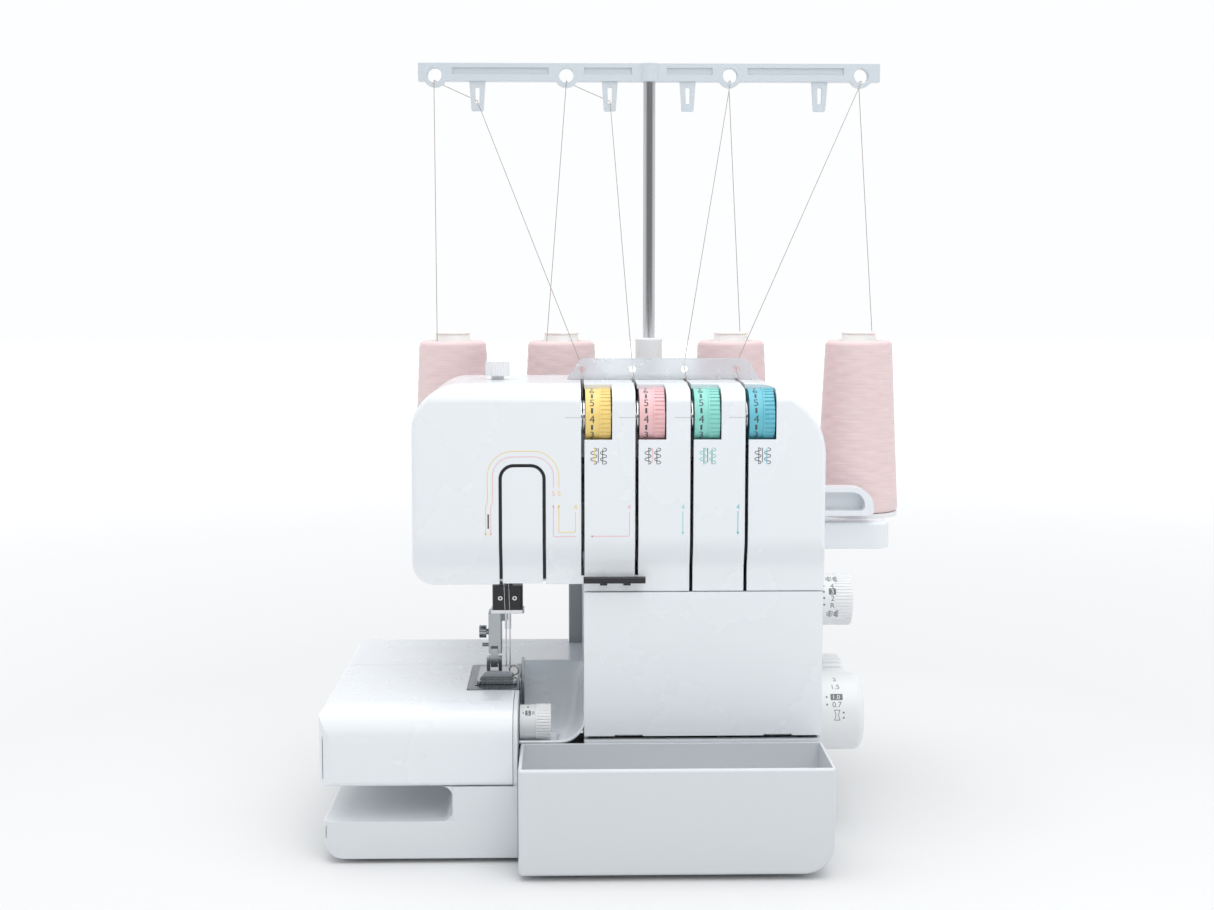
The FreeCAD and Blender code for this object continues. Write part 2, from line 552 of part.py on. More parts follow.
# ---- frame and drive ---------------------------------------------------------------------
RIGHT_RIB = (94.0, 100.0)
LEFT_RIB = (-26.0, -20.0)
ARM_Z = (HEAD_TOP - 54.0, HEAD_TOP - 46.0)
BAR_BORE_Z = (170.0, ARM_Z[1] + 4.0)     # the bores for the needle bar and the presser bar
LUG_Z = (176.0, 184.0)


def machine_frame():
    """The casting: a floor, two ribs, the upper arm with its bar bearings and the bed arm."""
    floor_z = FOOT + 3.5
    floor = block((LEFT_RIB[0], RIGHT_RIB[1]), (-60.0, 80.0), (floor_z, floor_z + 6))
    right = block(RIGHT_RIB, (-55.0, 34.0), (floor_z, ARM_Z[1]))
    left = block(LEFT_RIB, (-40.0, 34.0), (floor_z, ARM_Z[1]))
    arm = block((-125.0, RIGHT_RIB[1]), (-12.0, 30.0), ARM_Z)
    arm_front = block((-105.0, -60.0), (-44.0, -10.0), ARM_Z)
    web = block((-125.0, -119.0), (-40.0, 30.0), (LUG_Z[0], ARM_Z[1]))
    lug = block((-125.0, -62.0), (-40.0, 30.0), LUG_Z)
    rails = []
    for y in (PLATE_Y[0] + 4, PLATE_Y[1] - 8):
        rails.append(block((-150.0, BED_RIGHT - 1), (y, y + 4), (60.0, BED_TOP - WALL - 1)))
        rails.append(block((PLATE_X[0], BED_RIGHT - 1), (y, y + 4), (80.0, BED_TOP - PLATE_T)))
        rails.append(block((-150.0, LEFT_RIB[0] + 1), (y, y + 4), (52.0, 64.0)))
    end = block((-150.0, -144.0), (PLATE_Y[0] + 4, PLATE_Y[1] - 4), (52.0, BED_TOP - WALL - 1))
    brace = block((-42.0, -37.0), (PLATE_Y[0] + 4, PLATE_Y[1] - 4), (52.0, 58.0))
    whole = join([floor, right, left, arm, arm_front, web, lug, end, brace] + rails)
    cheek = block((LEFT_RIB[0], LEFT_RIB[1]), (PLATE_Y[0] + 4, -38.0), (floor_z, 64.0))
    whole = join([whole, cheek, take_up_pin()] + looper_shafts())
    x_far = (-200.0, 200.0)
    tools = [rod(NEEDLE_BAR_R + RUN, (NEEDLE_X, NEEDLE_Y, BAR_BORE_Z[0]), (NEEDLE_X, NEEDLE_Y,
                                                                           BAR_BORE_Z[1])),
             rod(PRESSER_R + RUN, (PRESSER_X, PRESSER_Y, BAR_BORE_Z[0]), (PRESSER_X, PRESSER_Y,
                                                                          BAR_BORE_Z[1])),
             rod(SHAFT_R + 3, (-40.0, SHAFT_Y, SHAFT_Z), (x_far[1], SHAFT_Y, SHAFT_Z))]
    for y, z, _, _ in (LENGTH_DIAL, FEED_DIAL):
        tools.append(rod(STUB_R + RUN, (80.0, y, z), (x_far[1], y, z)))
    return cut_all(whole, tools)


def shaft_bushes():
    """Plain bronze bushes pressed in the two ribs."""
    return Part.makeCompound([tube(SHAFT_R + 3, SHAFT_R + RUN, (rib[0], SHAFT_Y, SHAFT_Z), (rib[1], SHAFT_Y,
                                                                                            SHAFT_Z))
                              for rib in (LEFT_RIB, RIGHT_RIB)])


def main_shaft():
    """The driving shaft with its belt pulley and an end crank."""
    shaft = rod(SHAFT_R, (LEFT_RIB[0] - 1.0, SHAFT_Y, SHAFT_Z), (BODY_RIGHT + 4, SHAFT_Y, SHAFT_Z))
    pulley = rod(PULLEY_R, (PULLEY_X[0], SHAFT_Y, SHAFT_Z), (PULLEY_X[1], SHAFT_Y, SHAFT_Z))
    groove = tube(PULLEY_R + 1, PULLEY_R - 3, (PULLEY_X[0] + 2, SHAFT_Y, SHAFT_Z), (PULLEY_X[1] - 2, SHAFT_Y,
                                                                                    SHAFT_Z))
    crank = rod(12.0, (LEFT_RIB[1] + 2, SHAFT_Y, SHAFT_Z), (LEFT_RIB[1] + 9, SHAFT_Y, SHAFT_Z))
    pin = rod(3.0, (LEFT_RIB[1] + 8, SHAFT_Y + 7.5, SHAFT_Z), (LEFT_RIB[1] + 18, SHAFT_Y + 7.5, SHAFT_Z))
    return join([shaft, pulley.cut(groove), crank, pin])


def handwheel():
    """A ridged wheel with a dished outer face."""
    start, end = BODY_RIGHT + 1.5, BODY_RIGHT + 28.0
    wheel = rod(WHEEL_R, (start, SHAFT_Y, SHAFT_Z), (end, SHAFT_Y, SHAFT_Z))
    wheel = soften(wheel, 4.0, lambda e: e.BoundBox.XMin > end - 0.01)
    ridges = []
    for step in range(36):
        angle = math.radians(step * 10)
        y, z = SHAFT_Y + (WHEEL_R + 0.3) * math.cos(angle), SHAFT_Z + (WHEEL_R + 0.3) * math.sin(angle)
        ridges.append(rod(1.1, (start + 10, y, z), (end + 1, y, z)))
    dish = rod(13.0, (end - 2, SHAFT_Y, SHAFT_Z), (end + 1, SHAFT_Y, SHAFT_Z))
    seat = rod(SHAFT_R, (start - 1, SHAFT_Y, SHAFT_Z), (BODY_RIGHT + 4, SHAFT_Y, SHAFT_Z))
    return wheel.cut(Part.makeCompound(ridges)).cut(dish).cut(seat)


def drive_belt():
    """A flat belt round both pulleys, a little clear of their grooves."""
    inner = (PULLEY_R - 3 + SEAM, MOTOR_PULLEY_R - 2 + SEAM)
    x = (PULLEY_X[0] + 3.5, PULLEY_X[1] - 3.5)
    def loop(extra):
        radii = (inner[0] + extra, inner[1] + extra)
        a, b = V(0, SHAFT_Y, SHAFT_Z), V(0, MOTOR_Y, MOTOR_Z)
        span = b - a
        along = V(span).normalize()
        side = along.cross(V(1, 0, 0))
        lean = math.asin((radii[0] - radii[1]) / span.Length)
        ends = []
        for centre, radius in ((a, radii[0]), (b, radii[1])):
            for sign in (1, -1):
                ends.append(centre + (along * math.sin(lean) + side * (sign * math.cos(lean))) * radius)
        edges = [Part.Arc(ends[0], a - along * radii[0], ends[1]).toShape(), Part.LineSegment(ends[1],
                                                                                              ends[3]).toShape(),
                 Part.Arc(ends[3], b + along * radii[1], ends[2]).toShape(), Part.LineSegment(ends[2],
                                                                                              ends[0]).toShape()]
        face = Part.Face(Part.Wire(edges))
        shape = face.extrude(V(x[1] - x[0], 0, 0))
        shape.translate(V(x[0], 0, 0))
        return shape
    return loop(2.0).cut(loop(0))


def motor_body():
    """A round motor on two feet that stand on the casting's floor."""
    floor_z = FOOT + 9.5
    can = rod(MOTOR_R, (-6.0, MOTOR_Y, MOTOR_Z), (52.0, MOTOR_Y, MOTOR_Z))
    can = soften(can, 4.0, lambda e: e.BoundBox.XLength < 0.01)
    feet = [block((x, x + 8), (MOTOR_Y - 20, MOTOR_Y + 20), (floor_z, MOTOR_Z - 15)) for x in (2.0, 36.0)]
    bore = rod(3.0 + RUN, (30.0, MOTOR_Y, MOTOR_Z), (60.0, MOTOR_Y, MOTOR_Z))
    return join([can] + feet).cut(bore)


def motor_pulley():
    shaft = rod(3.0, (34.0, MOTOR_Y, MOTOR_Z), (PULLEY_X[1] + 2, MOTOR_Y, MOTOR_Z))
    wheel = rod(MOTOR_PULLEY_R, (PULLEY_X[0], MOTOR_Y, MOTOR_Z), (PULLEY_X[1], MOTOR_Y, MOTOR_Z))
    groove = tube(MOTOR_PULLEY_R + 1, MOTOR_PULLEY_R - 2, (PULLEY_X[0] + 2, MOTOR_Y, MOTOR_Z),
                  (PULLEY_X[1] - 2, MOTOR_Y, MOTOR_Z))
    return join([shaft, wheel.cut(groove)])


# ---- stitch forming ----------------------------------------------------------------------
KNIFE_X = (BED_RIGHT + 0.6, BED_RIGHT + 2.4)
KNIFE_Y = (NEEDLE_Y - 9.0, NEEDLE_Y - 1.0)
FEED_ROWS = (-96.5, -91.0, -85.5)
FEED_Y = (NEEDLE_Y - 14.0, NEEDLE_Y + 18.0)


def needle_plate():
    """A steel plate with slots for the feed teeth and the needles and a stitch finger at its right edge."""
    shape = along_z(rectangle(PLATE_X, PLATE_Y, (1.5, 1.5, 1.5, 1.5)), (BED_TOP - PLATE_T, BED_TOP + 0.4))
    tools = [block((x - 1.9, x + 1.9), (FEED_Y[0] - 4, FEED_Y[1] + 4), (80.0, 100.0)) for x in FEED_ROWS]
    tools.append(block((NEEDLE_X - 3.2, NEEDLE_X + 2.6), (NEEDLE_Y - 1.4, NEEDLE_Y + 1.4), (80.0, 100.0)))
    tools.append(block((PLATE_X[1] - 2.6, PLATE_X[1] - 1.2), (NEEDLE_Y - 12, NEEDLE_Y + 8), (80.0, 100.0)))
    tools.append(rod(1.8, (PLATE_X[0] + 6, PLATE_Y[0] + 10, 80.0), (PLATE_X[0] + 6, PLATE_Y[0] + 10, 100.0)))
    return cut_all(shape, tools)


def feed_dogs():
    """Three rows of saw teeth on one carrier."""
    parts = [block((FEED_ROWS[0] - 2, FEED_ROWS[2] + 2), (FEED_Y[0] + 2, FEED_Y[1] - 2), (82.0, 86.0))]
    for x in FEED_ROWS:
        low = BED_TOP - 1.6
        corners = [(FEED_Y[0], 85.0, 0), (FEED_Y[1], 85.0, 0)]
        count = 12
        pitch = (FEED_Y[1] - FEED_Y[0]) / count
        for step in range(count, 0, -1):
            y = FEED_Y[0] + step * pitch
            corners += [(y, low, 0), (y - pitch * 0.3, low + 1.4, 0)]
        corners.append((FEED_Y[0], low, 0))
        parts.append(along_x(corners, (x - 1.3, x + 1.3)))
    return join(parts)


def lower_knife():
    x = (BED_RIGHT - 0.55, BED_RIGHT + 0.1)
    blade = block(x, KNIFE_Y, (66.0, BED_TOP + 0.2))
    arm = block(x, (PLATE_Y[0] + 5, KNIFE_Y[1]), (66.0, 70.0))
    return join([blade, arm])


def upper_knife():
    blade = block(KNIFE_X, (KNIFE_Y[0] + 1, KNIFE_Y[1] - 1), (BED_TOP + 1.0, BED_TOP + 14))
    stem = block((KNIFE_X[0], KNIFE_X[1]), (KNIFE_Y[0] + 1, KNIFE_Y[0] + 4), (66.0, BED_TOP + 2))
    return join([blade, stem])


LOWER_PIVOT = (-54.0, 40.0)
UPPER_PIVOT = (-44.0, 38.0)


def looper(pivot, tip, y, bend):
    """A hooked blade: a hub, an arm that rises from it and a curved point."""
    hub = rod(5.5, (pivot[0], y, pivot[1]), (pivot[0], y + 6, pivot[1]))
    mid = ((pivot[0] + tip[0]) / 2 + bend[0], (pivot[1] + tip[1]) / 2 + bend[1])
    outline = [(pivot[0] - 3, pivot[1], 0), (pivot[0] + 3, pivot[1], 0), (mid[0] + 3.5, mid[1] + 3.5, 6),
               (tip[0], tip[1] + 1.2, 0), (tip[0] - 1.5, tip[1] - 0.8, 0), (mid[0] - 2.0, mid[1] - 1.5, 5)]
    blade = along_y(outline, (y + 1.5, y + 4.0))
    bore = rod(2.5 + RUN, (pivot[0], y - 1, pivot[1]), (pivot[0], y + 7, pivot[1]))
    return join([hub, blade]).cut(bore)


LOWER_LOOPER_Y = NEEDLE_Y + 2.0
UPPER_LOOPER_Y = NEEDLE_Y - 15.0


def looper_shafts():
    """The two rocker pins that the loopers turn on."""
    pins = []
    for (x, z), y in ((LOWER_PIVOT, LOWER_LOOPER_Y), (UPPER_PIVOT, UPPER_LOOPER_Y)):
        pins.append(rod(2.5, (x, PLATE_Y[0] + 9, z), (x, PLATE_Y[1] - 9, z)))
    arms = [block((x - 3, x + 3), (PLATE_Y[0] + 7, PLATE_Y[0] + 12), (z - 4, 60.0)) for x, z in (LOWER_PIVOT,
                                                                                                 UPPER_PIVOT)]
    return pins + arms


def needle_bar():
    return rod(NEEDLE_BAR_R, (NEEDLE_X, NEEDLE_Y, CLAMP_Z[1]), (NEEDLE_X, NEEDLE_Y, BAR_BORE_Z[1] + 12.0))


def needle_clamp():
    """The block that holds both needles, with a rim and two grub screws."""
    x = (NEEDLE_X - 9.5, NEEDLE_X + 9.5)
    body = along_z(rectangle(x, (NEEDLE_Y - 7, NEEDLE_Y + 5.2), (2, 2, 2, 2)), (CLAMP_Z[0] + 2, CLAMP_Z[1]))
    rim = along_z(rectangle((x[0] - 0.8, x[1] + 0.8), (NEEDLE_Y - 8, NEEDLE_Y + 5), (2, 2, 2, 2)),
                  (CLAMP_Z[0], CLAMP_Z[0] + 2))
    whole = join([body, rim])
    holes = [rod(0.8, (NEEDLE_X + s * NEEDLE_PITCH / 2, NEEDLE_Y, CLAMP_Z[0] - 1),
                 (NEEDLE_X + s * NEEDLE_PITCH / 2, NEEDLE_Y, 148.0))
             for s in (-1, 1)]
    sockets = [rod(1.5, (NEEDLE_X + s * 4.5, NEEDLE_Y - 8, 146.0), (NEEDLE_X + s * 4.5, NEEDLE_Y - 5.5,
                                                                    146.0)) for s in (-1, 1)]
    return cut_all(whole, holes + sockets)


def needles():
    """Two needles: a round shank, a slimmer blade and a point."""
    pair = []
    for side in (-1, 1):
        x = NEEDLE_X + side * NEEDLE_PITCH / 2
        shank = rod(0.8, (x, NEEDLE_Y, 125.0), (x, NEEDLE_Y, 148.0))
        blade = rod(0.45, (x, NEEDLE_Y, NEEDLE_TIP + 4), (x, NEEDLE_Y, 125.5))
        tip = cone((0.12, 0.45), x, NEEDLE_Y, (NEEDLE_TIP, NEEDLE_TIP + 4))
        pair.append(join([shank, blade, tip]))
    return Part.makeCompound(pair)


FOOT_PIN = (NEEDLE_Y + 6.0, 103.0)


def presser_bar():
    return rod(PRESSER_R, (PRESSER_X, PRESSER_Y, 128.0), (PRESSER_X, PRESSER_Y, SPRING_Z[0]))


def foot_ankle():
    """The block at the bar's lower end, with its clamp screw and the fork that holds the foot."""
    block_x = (PRESSER_X - 6.5, PRESSER_X + 2.0)
    shank = along_z(rectangle(block_x, (PRESSER_Y - 10, PRESSER_Y + 5), (1, 1, 1, 1)), (108.0, 134.0))
    shank = shank.cut(rod(PRESSER_R, (PRESSER_X, PRESSER_Y, 128.0), (PRESSER_X, PRESSER_Y, 140.0)))
    ring = tube(PRESSER_R + 2.2, PRESSER_R, (PRESSER_X, PRESSER_Y, 128.0), (PRESSER_X, PRESSER_Y, 134.0))
    fork = block((PRESSER_X - 5.0, PRESSER_X - 0.5), (FOOT_PIN[0] - 4, PRESSER_Y), (100.0, 112.0))
    screw = rod(4.0, (PRESSER_X - 12.5, PRESSER_Y - 4, 121.0), (PRESSER_X - 8.0, PRESSER_Y - 4, 121.0))
    stem = rod(1.8, (PRESSER_X - 8.5, PRESSER_Y - 4, 121.0), (PRESSER_X - 6.0, PRESSER_Y - 4, 121.0))
    lever = rod(1.2, (PRESSER_X - 11, PRESSER_Y + 1, 111.5), (PRESSER_X - 5.0, PRESSER_Y + 1, 111.5))
    pin_hole = rod(1.5 + RUN, (PRESSER_X - 12, FOOT_PIN[0], FOOT_PIN[1]), (PRESSER_X + 5, FOOT_PIN[0],
                                                                           FOOT_PIN[1]))
    return join([shank, ring, fork, screw, stem, lever]).cut(pin_hole)


def presser_foot():
    """The sole with its needle slot, two cheeks, the pin between them and the thread guide loop."""
    low = BED_TOP + 0.7
    sole = along_z([(-98.0, NEEDLE_Y - 20, 3), (-73.0, NEEDLE_Y - 20, 3), (-73.0, NEEDLE_Y + 20, 2),
                    (-98.0, NEEDLE_Y + 20, 2)], (low, low + 2.2))
    toe = along_x([(NEEDLE_Y - 20, low + 2.2, 0), (NEEDLE_Y - 14, low, 0), (NEEDLE_Y - 14, low + 2.2, 0)],
                  (-95.0, -74.0))
    cheeks = [block((x, x + 2.2), (FOOT_PIN[0] - 3.5, FOOT_PIN[0] + 3.5),
                    (low + 1, FOOT_PIN[1] + 3)) for x in (PRESSER_X - 7.6, PRESSER_X - 0.1)]
    pin = rod(1.5, (PRESSER_X - 6, FOOT_PIN[0], FOOT_PIN[1]), (PRESSER_X + 1, FOOT_PIN[0], FOOT_PIN[1]))
    hood = along_y([(-97.0, low + 2, 0), (-75.0, low + 2, 0), (-77.5, low + 7, 2), (-93.0, low + 7, 2)],
                   (NEEDLE_Y - 15, NEEDLE_Y - 13))
    ring = Part.makeTorus(3.0, 0.5, V(-75.4, NEEDLE_Y - 8, low + 6.2), V(0.3, 1, 0.2))
    stem = rod(0.6, (-76.0, NEEDLE_Y - 8, low + 1), (-75.8, NEEDLE_Y - 8, low + 3.4))
    slot = block((NEEDLE_X - 3.0, NEEDLE_X + 3.0), (NEEDLE_Y - 3, NEEDLE_Y + 2.3), (low - 1, low + 9))
    return join([sole.cut(slot), toe.cut(slot)] + cheeks + [pin, hood, ring, stem])


def presser_spring():
    """The pressure spring, as a plain sleeve of its own size."""
    return tube(5.0, 3.4, (PRESSER_X, PRESSER_Y, SPRING_Z[0]), (PRESSER_X, PRESSER_Y, SPRING_Z[1]))


def pressure_knob():
    """The pressure screw: a knurled cap on a neck that passes through the head's top."""
    cap_low, cap_high = HEAD_TOP + 2.5, HEAD_TOP + 12.0
    cap = rod(7.7, (PRESSER_X, PRESSER_Y, cap_low), (PRESSER_X, PRESSER_Y, cap_high))
    cap = soften(cap, 1.2, lambda e: e.BoundBox.ZMin > cap_high - 0.01)
    grooves = []
    for step in range(24):
        angle = math.radians(step * 15)
        x, y = PRESSER_X + 8.1 * math.cos(angle), PRESSER_Y + 8.1 * math.sin(angle)
        grooves.append(rod(0.8, (x, y, cap_low - 1), (x, y, cap_high + 1)))
    neck = rod(4.0, (PRESSER_X, PRESSER_Y, SPRING_Z[1]), (PRESSER_X, PRESSER_Y, cap_low + 1))
    return join([cap.cut(Part.makeCompound(grooves)), neck])


def presser_lift_lever():
    """The lever behind the head: a hub with its pin, and a flat handle that hangs down."""
    y = HEAD_BACK + SEAM + WALL
    hub = rod(5.0, (LIFTER_X - 3, y + 6, LIFTER_Z), (LIFTER_X + 3, y + 6, LIFTER_Z))
    arm = along_x([(y + 2, LIFTER_Z, 0), (y + 10, LIFTER_Z, 0), (y + 16, LIFTER_Z - 34, 3),
                   (y + 9, LIFTER_Z - 34, 3)],
                  (LIFTER_X - 3, LIFTER_X + 3))
    return join([hub, arm]).cut(rod(2.0 + RUN, (LIFTER_X - 9, y + 6, LIFTER_Z), (LIFTER_X + 9, y + 6,
                                                                                 LIFTER_Z)))


def lifter_bracket():
    """Two ears on the head's back plate and the pin through them."""
    y = HEAD_BACK + SEAM + WALL
    ears = [block((x, x + 2.5), (y, y + 11), (LIFTER_Z - 6, LIFTER_Z + 6)) for x in (LIFTER_X - 6.5,
                                                                                     LIFTER_X + 4)]
    pin = rod(2.0, (LIFTER_X - 6, y + 6, LIFTER_Z), (LIFTER_X + 6, y + 6, LIFTER_Z))
    bar = block((LIFTER_X - 6.5, LIFTER_X + 6.5), (y, y + 2), (LIFTER_Z + 25, LIFTER_Z + 29))
    sides = [block((x, x + 2.0), (y, y + 2), (LIFTER_Z + 5, LIFTER_Z + 28)) for x in (LIFTER_X - 6.5,
                                                                                      LIFTER_X + 4.5)]
    return join(ears + [pin, bar] + sides)


TAKE_UP_PIVOT = (-50.0, 200.0)


def take_up_lever():
    """A forked arm behind the take-up panel that pulls both needle threads."""
    y = HEAD_LIP + 14
    hub = rod(5.0, (TAKE_UP_PIVOT[0], y, TAKE_UP_PIVOT[1]), (TAKE_UP_PIVOT[0], y + 8, TAKE_UP_PIVOT[1]))
    arm = along_y([(-50.0, 196.0, 0), (-50.0, 204.0, 0), (-82.0, 222.0, 2), (-84.0, 217.0, 2)],
                  (y + 2, y + 5))
    eye = rod(2.0, (-80.5, y - 1, 217.9), (-80.5, y + 9, 217.9))
    bore = rod(2.5 + RUN, (TAKE_UP_PIVOT[0], y - 1, TAKE_UP_PIVOT[1]), (TAKE_UP_PIVOT[0], y + 9,
                                                                        TAKE_UP_PIVOT[1]))
    return join([hub, arm]).cut(eye).cut(bore)


def take_up_pin():
    """The pin and bracket that carry the take-up lever, on the front of the casting's left rib."""
    y = HEAD_LIP + 14
    pin = rod(2.5, (TAKE_UP_PIVOT[0], y, TAKE_UP_PIVOT[1]), (TAKE_UP_PIVOT[0], -44.0, TAKE_UP_PIVOT[1]))
    plate = block((-56.0, -20.0), (-47.0, -44.0), (192.0, 208.0))
    foot = block((-26.0, -20.0), (-44.5, -40.0), (192.0, 208.0))
    return join([pin, plate, foot])


# ---- setting dials and switch ------------------------------------------------------------
def side_dial(spec, ridged):
    """A drum that stands out of the right side on a stub shaft; ridged rounds its outer half."""
    y, z, radius, width = spec
    start, end = BODY_RIGHT + 1.2, BODY_RIGHT + 1.2 + width
    drum = rod(radius, (start, y, z), (end, y, z))
    drum = soften(drum, 1.6 if ridged else 5.0, lambda e: e.BoundBox.XMin > end - 0.01)
    stub = rod(STUB_R, (RIGHT_RIB[0], y, z), (start + 1, y, z))
    tools = []
    for step in range(48 if ridged else 0):
        angle = math.radians(step * 7.5)
        yy, zz = y + (radius + 0.15) * math.cos(angle), z + (radius + 0.15) * math.sin(angle)
        tools.append(rod(0.6, (start + 0.55 * width, yy, zz), (end + 1, yy, zz)))
    if tools:
        drum = drum.cut(Part.makeCompound(tools))
    return join([drum, stub])


def stitch_width_dial():
    """The small dial at the free arm's right end."""
    y, z, radius, width = WIDTH_DIAL
    start, end = BED_RIGHT + 0.6, BED_RIGHT + 0.6 + width
    drum = rod(radius - 0.5, (start, y, z), (start + width / 2 + 1, y, z))
    rim = rod(radius, (start + width / 2, y, z), (end, y, z))
    rim = soften(rim, 1.0, lambda e: e.BoundBox.XMin > end - 0.01)
    tools = []
    for step in range(36):
        angle = math.radians(step * 10)
        yy, zz = y + (radius + 0.15) * math.cos(angle), z + (radius + 0.15) * math.sin(angle)
        tools.append(rod(0.55, (start + width / 2 + 1, yy, zz), (end + 1, yy, zz)))
    stub = rod(STUB_R, (BED_RIGHT - WALL - 2, y, z), (start + 1, y, z))
    return join([drum, rim.cut(Part.makeCompound(tools)), stub])


def power_switch():
    """A rocker that turns on two side pips."""
    x = BODY_RIGHT
    rocker = along_y([(x - 3.0, SWITCH_Z - 8.5, 1), (x + 2.4, SWITCH_Z - 8.5, 1), (x + 0.6, SWITCH_Z, 0),
                      (x + 0.9, SWITCH_Z + 8.5, 0.5),
                      (x - 3.0, SWITCH_Z + 8.5, 1)], (SWITCH_Y - 4.2, SWITCH_Y + 4.2))
    pips = rod(1.0, (x - 1.5, SWITCH_Y - 4.9, SWITCH_Z), (x - 1.5, SWITCH_Y + 4.9, SWITCH_Z))
    return join([rocker, pips])


def switch_frame():
    x = BODY_RIGHT
    body = block((x - 9, x), (SWITCH_Y - 6.2, SWITCH_Y + 6.2), (SWITCH_Z - 10.2, SWITCH_Z + 10.2))
    well = block((x - 5.5, x + 1), (SWITCH_Y - 4.6, SWITCH_Y + 4.6), (SWITCH_Z - 9.2, SWITCH_Z + 9.2))
    pips = rod(1.0 + RUN, (x - 1.5, SWITCH_Y - 5, SWITCH_Z), (x - 1.5, SWITCH_Y + 5, SWITCH_Z))
    return cut_all(body, [well, pips])


def power_inlet():
    """The socket for the mains lead with three contact pins, and the switch's frame above it."""
    x = BODY_RIGHT
    body = block((x - 14, x), (SWITCH_Y - 11.1, SWITCH_Y + 11.1), (INLET_Z - 7.1, INLET_Z + 7.1))
    well = along_x(rectangle((SWITCH_Y - 9.5, SWITCH_Y + 9.5), (INLET_Z - 5.5, INLET_Z + 5.5), (2, 2, 2, 2)),
                   (x - 11, x + 1))
    pins = [rod(1.1, (x - 12, SWITCH_Y + d, INLET_Z), (x - 3, SWITCH_Y + d, INLET_Z)) for d in (-5.5, 0, 5.5)]
    return Part.makeCompound([join([body.cut(well)] + pins), switch_frame()])


# ---- spool stand, cones and thread tree --------------------------------------------------
def spool_stand():
    """A deep-rimmed shelf behind the head, hollow underneath, on two pads."""
    def outline(inset):
        return rectangle((STAND_X[0] + inset, STAND_X[1] - inset), (STAND_Y[0] + inset, STAND_Y[1] - inset),
                         (12 - inset, 12 - inset, 34 - inset, 34 - inset))
    outer = along_z(outline(0), STAND_Z)
    outer = soften(outer, 2.5, lambda e: e.BoundBox.ZMin > STAND_Z[1] - 0.01)
    hollow = along_z(outline(WALL + 1), (STAND_Z[0] - 1, STAND_Z[1] - 4))
    pads = [block((x, x + 30), (STAND_Y[0] + 4, BODY_BACK - 5), (SEAM_Z + 1.5,
                                                                 STAND_Z[1] - 3)) for x in (-22.0, 70.0)]
    ridges = [tube(9.0, 7.0, (x, CONE_Y, STAND_Z[0]), (x, CONE_Y,
                                                       STAND_Z[1] - 3)) for x in CONE_X + (POLE_X,)]
    return join([outer.cut(hollow)] + pads + ridges)


def spool_holders():
    """A disc and an upright ribbed pin for each cone."""
    holders = []
    for x in CONE_X:
        disc = rod(28.0, (x, CONE_Y, STAND_Z[1]), (x, CONE_Y, CONE_Z[0]))
        pin = rod(4.0, (x, CONE_Y, STAND_Z[1]), (x, CONE_Y, 262.0))
        pin = soften(pin, 2.0, lambda e: e.BoundBox.ZMin > 261.9)
        fins = [block((x - 9.5, x + 9.5), (CONE_Y - 1, CONE_Y + 1), (CONE_Z[0] - 1, 225.0)),
                block((x - 1, x + 1), (CONE_Y - 9.5, CONE_Y + 9.5), (CONE_Z[0] - 1, 225.0))]
        holders.append(join([disc, pin] + fins))
    return Part.makeCompound(holders)


TUBE_R = (18.5, 12.0)


def cone_tubes():
    """The hollow plastic cone inside each thread package, with its rolled top."""
    tubes = []
    for x in CONE_X:
        outer = cone(TUBE_R, x, CONE_Y, (CONE_Z[0], CONE_TUBE_TOP))
        inner = cone((TUBE_R[0] - 1.6, TUBE_R[1] - 1.6), x, CONE_Y, (CONE_Z[0], CONE_TUBE_TOP))
        tubes.append(outer.cut(inner))
    return Part.makeCompound(tubes)


def thread_cones():
    """The wound thread on each cone."""
    slope = (TUBE_R[1] - TUBE_R[0]) / (CONE_TUBE_TOP - CONE_Z[0])
    top_inner = TUBE_R[0] + slope * (CONE_Z[1] - CONE_Z[0]) + 0.3
    packs = []
    for x in CONE_X:
        outer = cone(CONE_R, x, CONE_Y, CONE_Z)
        outer = soften(outer, 2.0, lambda e: e.BoundBox.ZLength < 0.01)
        packs.append(outer.cut(cone((TUBE_R[0] + 0.3, top_inner), x, CONE_Y, CONE_Z)))
    return Part.makeCompound(packs)


def tree_holder():
    """The white sleeve with its collar; as a second solid, the fixed rod that the pole slides over."""
    low = STAND_Z[1]
    sleeve = rod(7.0, (POLE_X, CONE_Y, low), (POLE_X, CONE_Y, 290.0))
    collar = rod(9.35, (POLE_X, CONE_Y, 289.0), (POLE_X, CONE_Y, 305.0))
    collar = soften(collar, 1.5, lambda e: e.BoundBox.ZLength < 0.01)
    flange = rod(14.0, (POLE_X, CONE_Y, low), (POLE_X, CONE_Y, low + 4))
    bore = rod(POLE_R + 0.08, (POLE_X, CONE_Y, low + 4), (POLE_X, CONE_Y, 320.0))
    core = rod(POLE_ROD_R, (POLE_X, CONE_Y, low + 4), (POLE_X, CONE_Y, BAR_Z[0] - TREE_DROP - 1))
    return Part.makeCompound([join([sleeve, collar, flange]).cut(bore), core])


def tree_pole():
    low = STAND_Z[1] + 8 + TREE_DROP
    return tube(POLE_R, POLE_ROD_R + RUN, (POLE_X, CONE_Y, low), (POLE_X, CONE_Y, BAR_Z[0]))


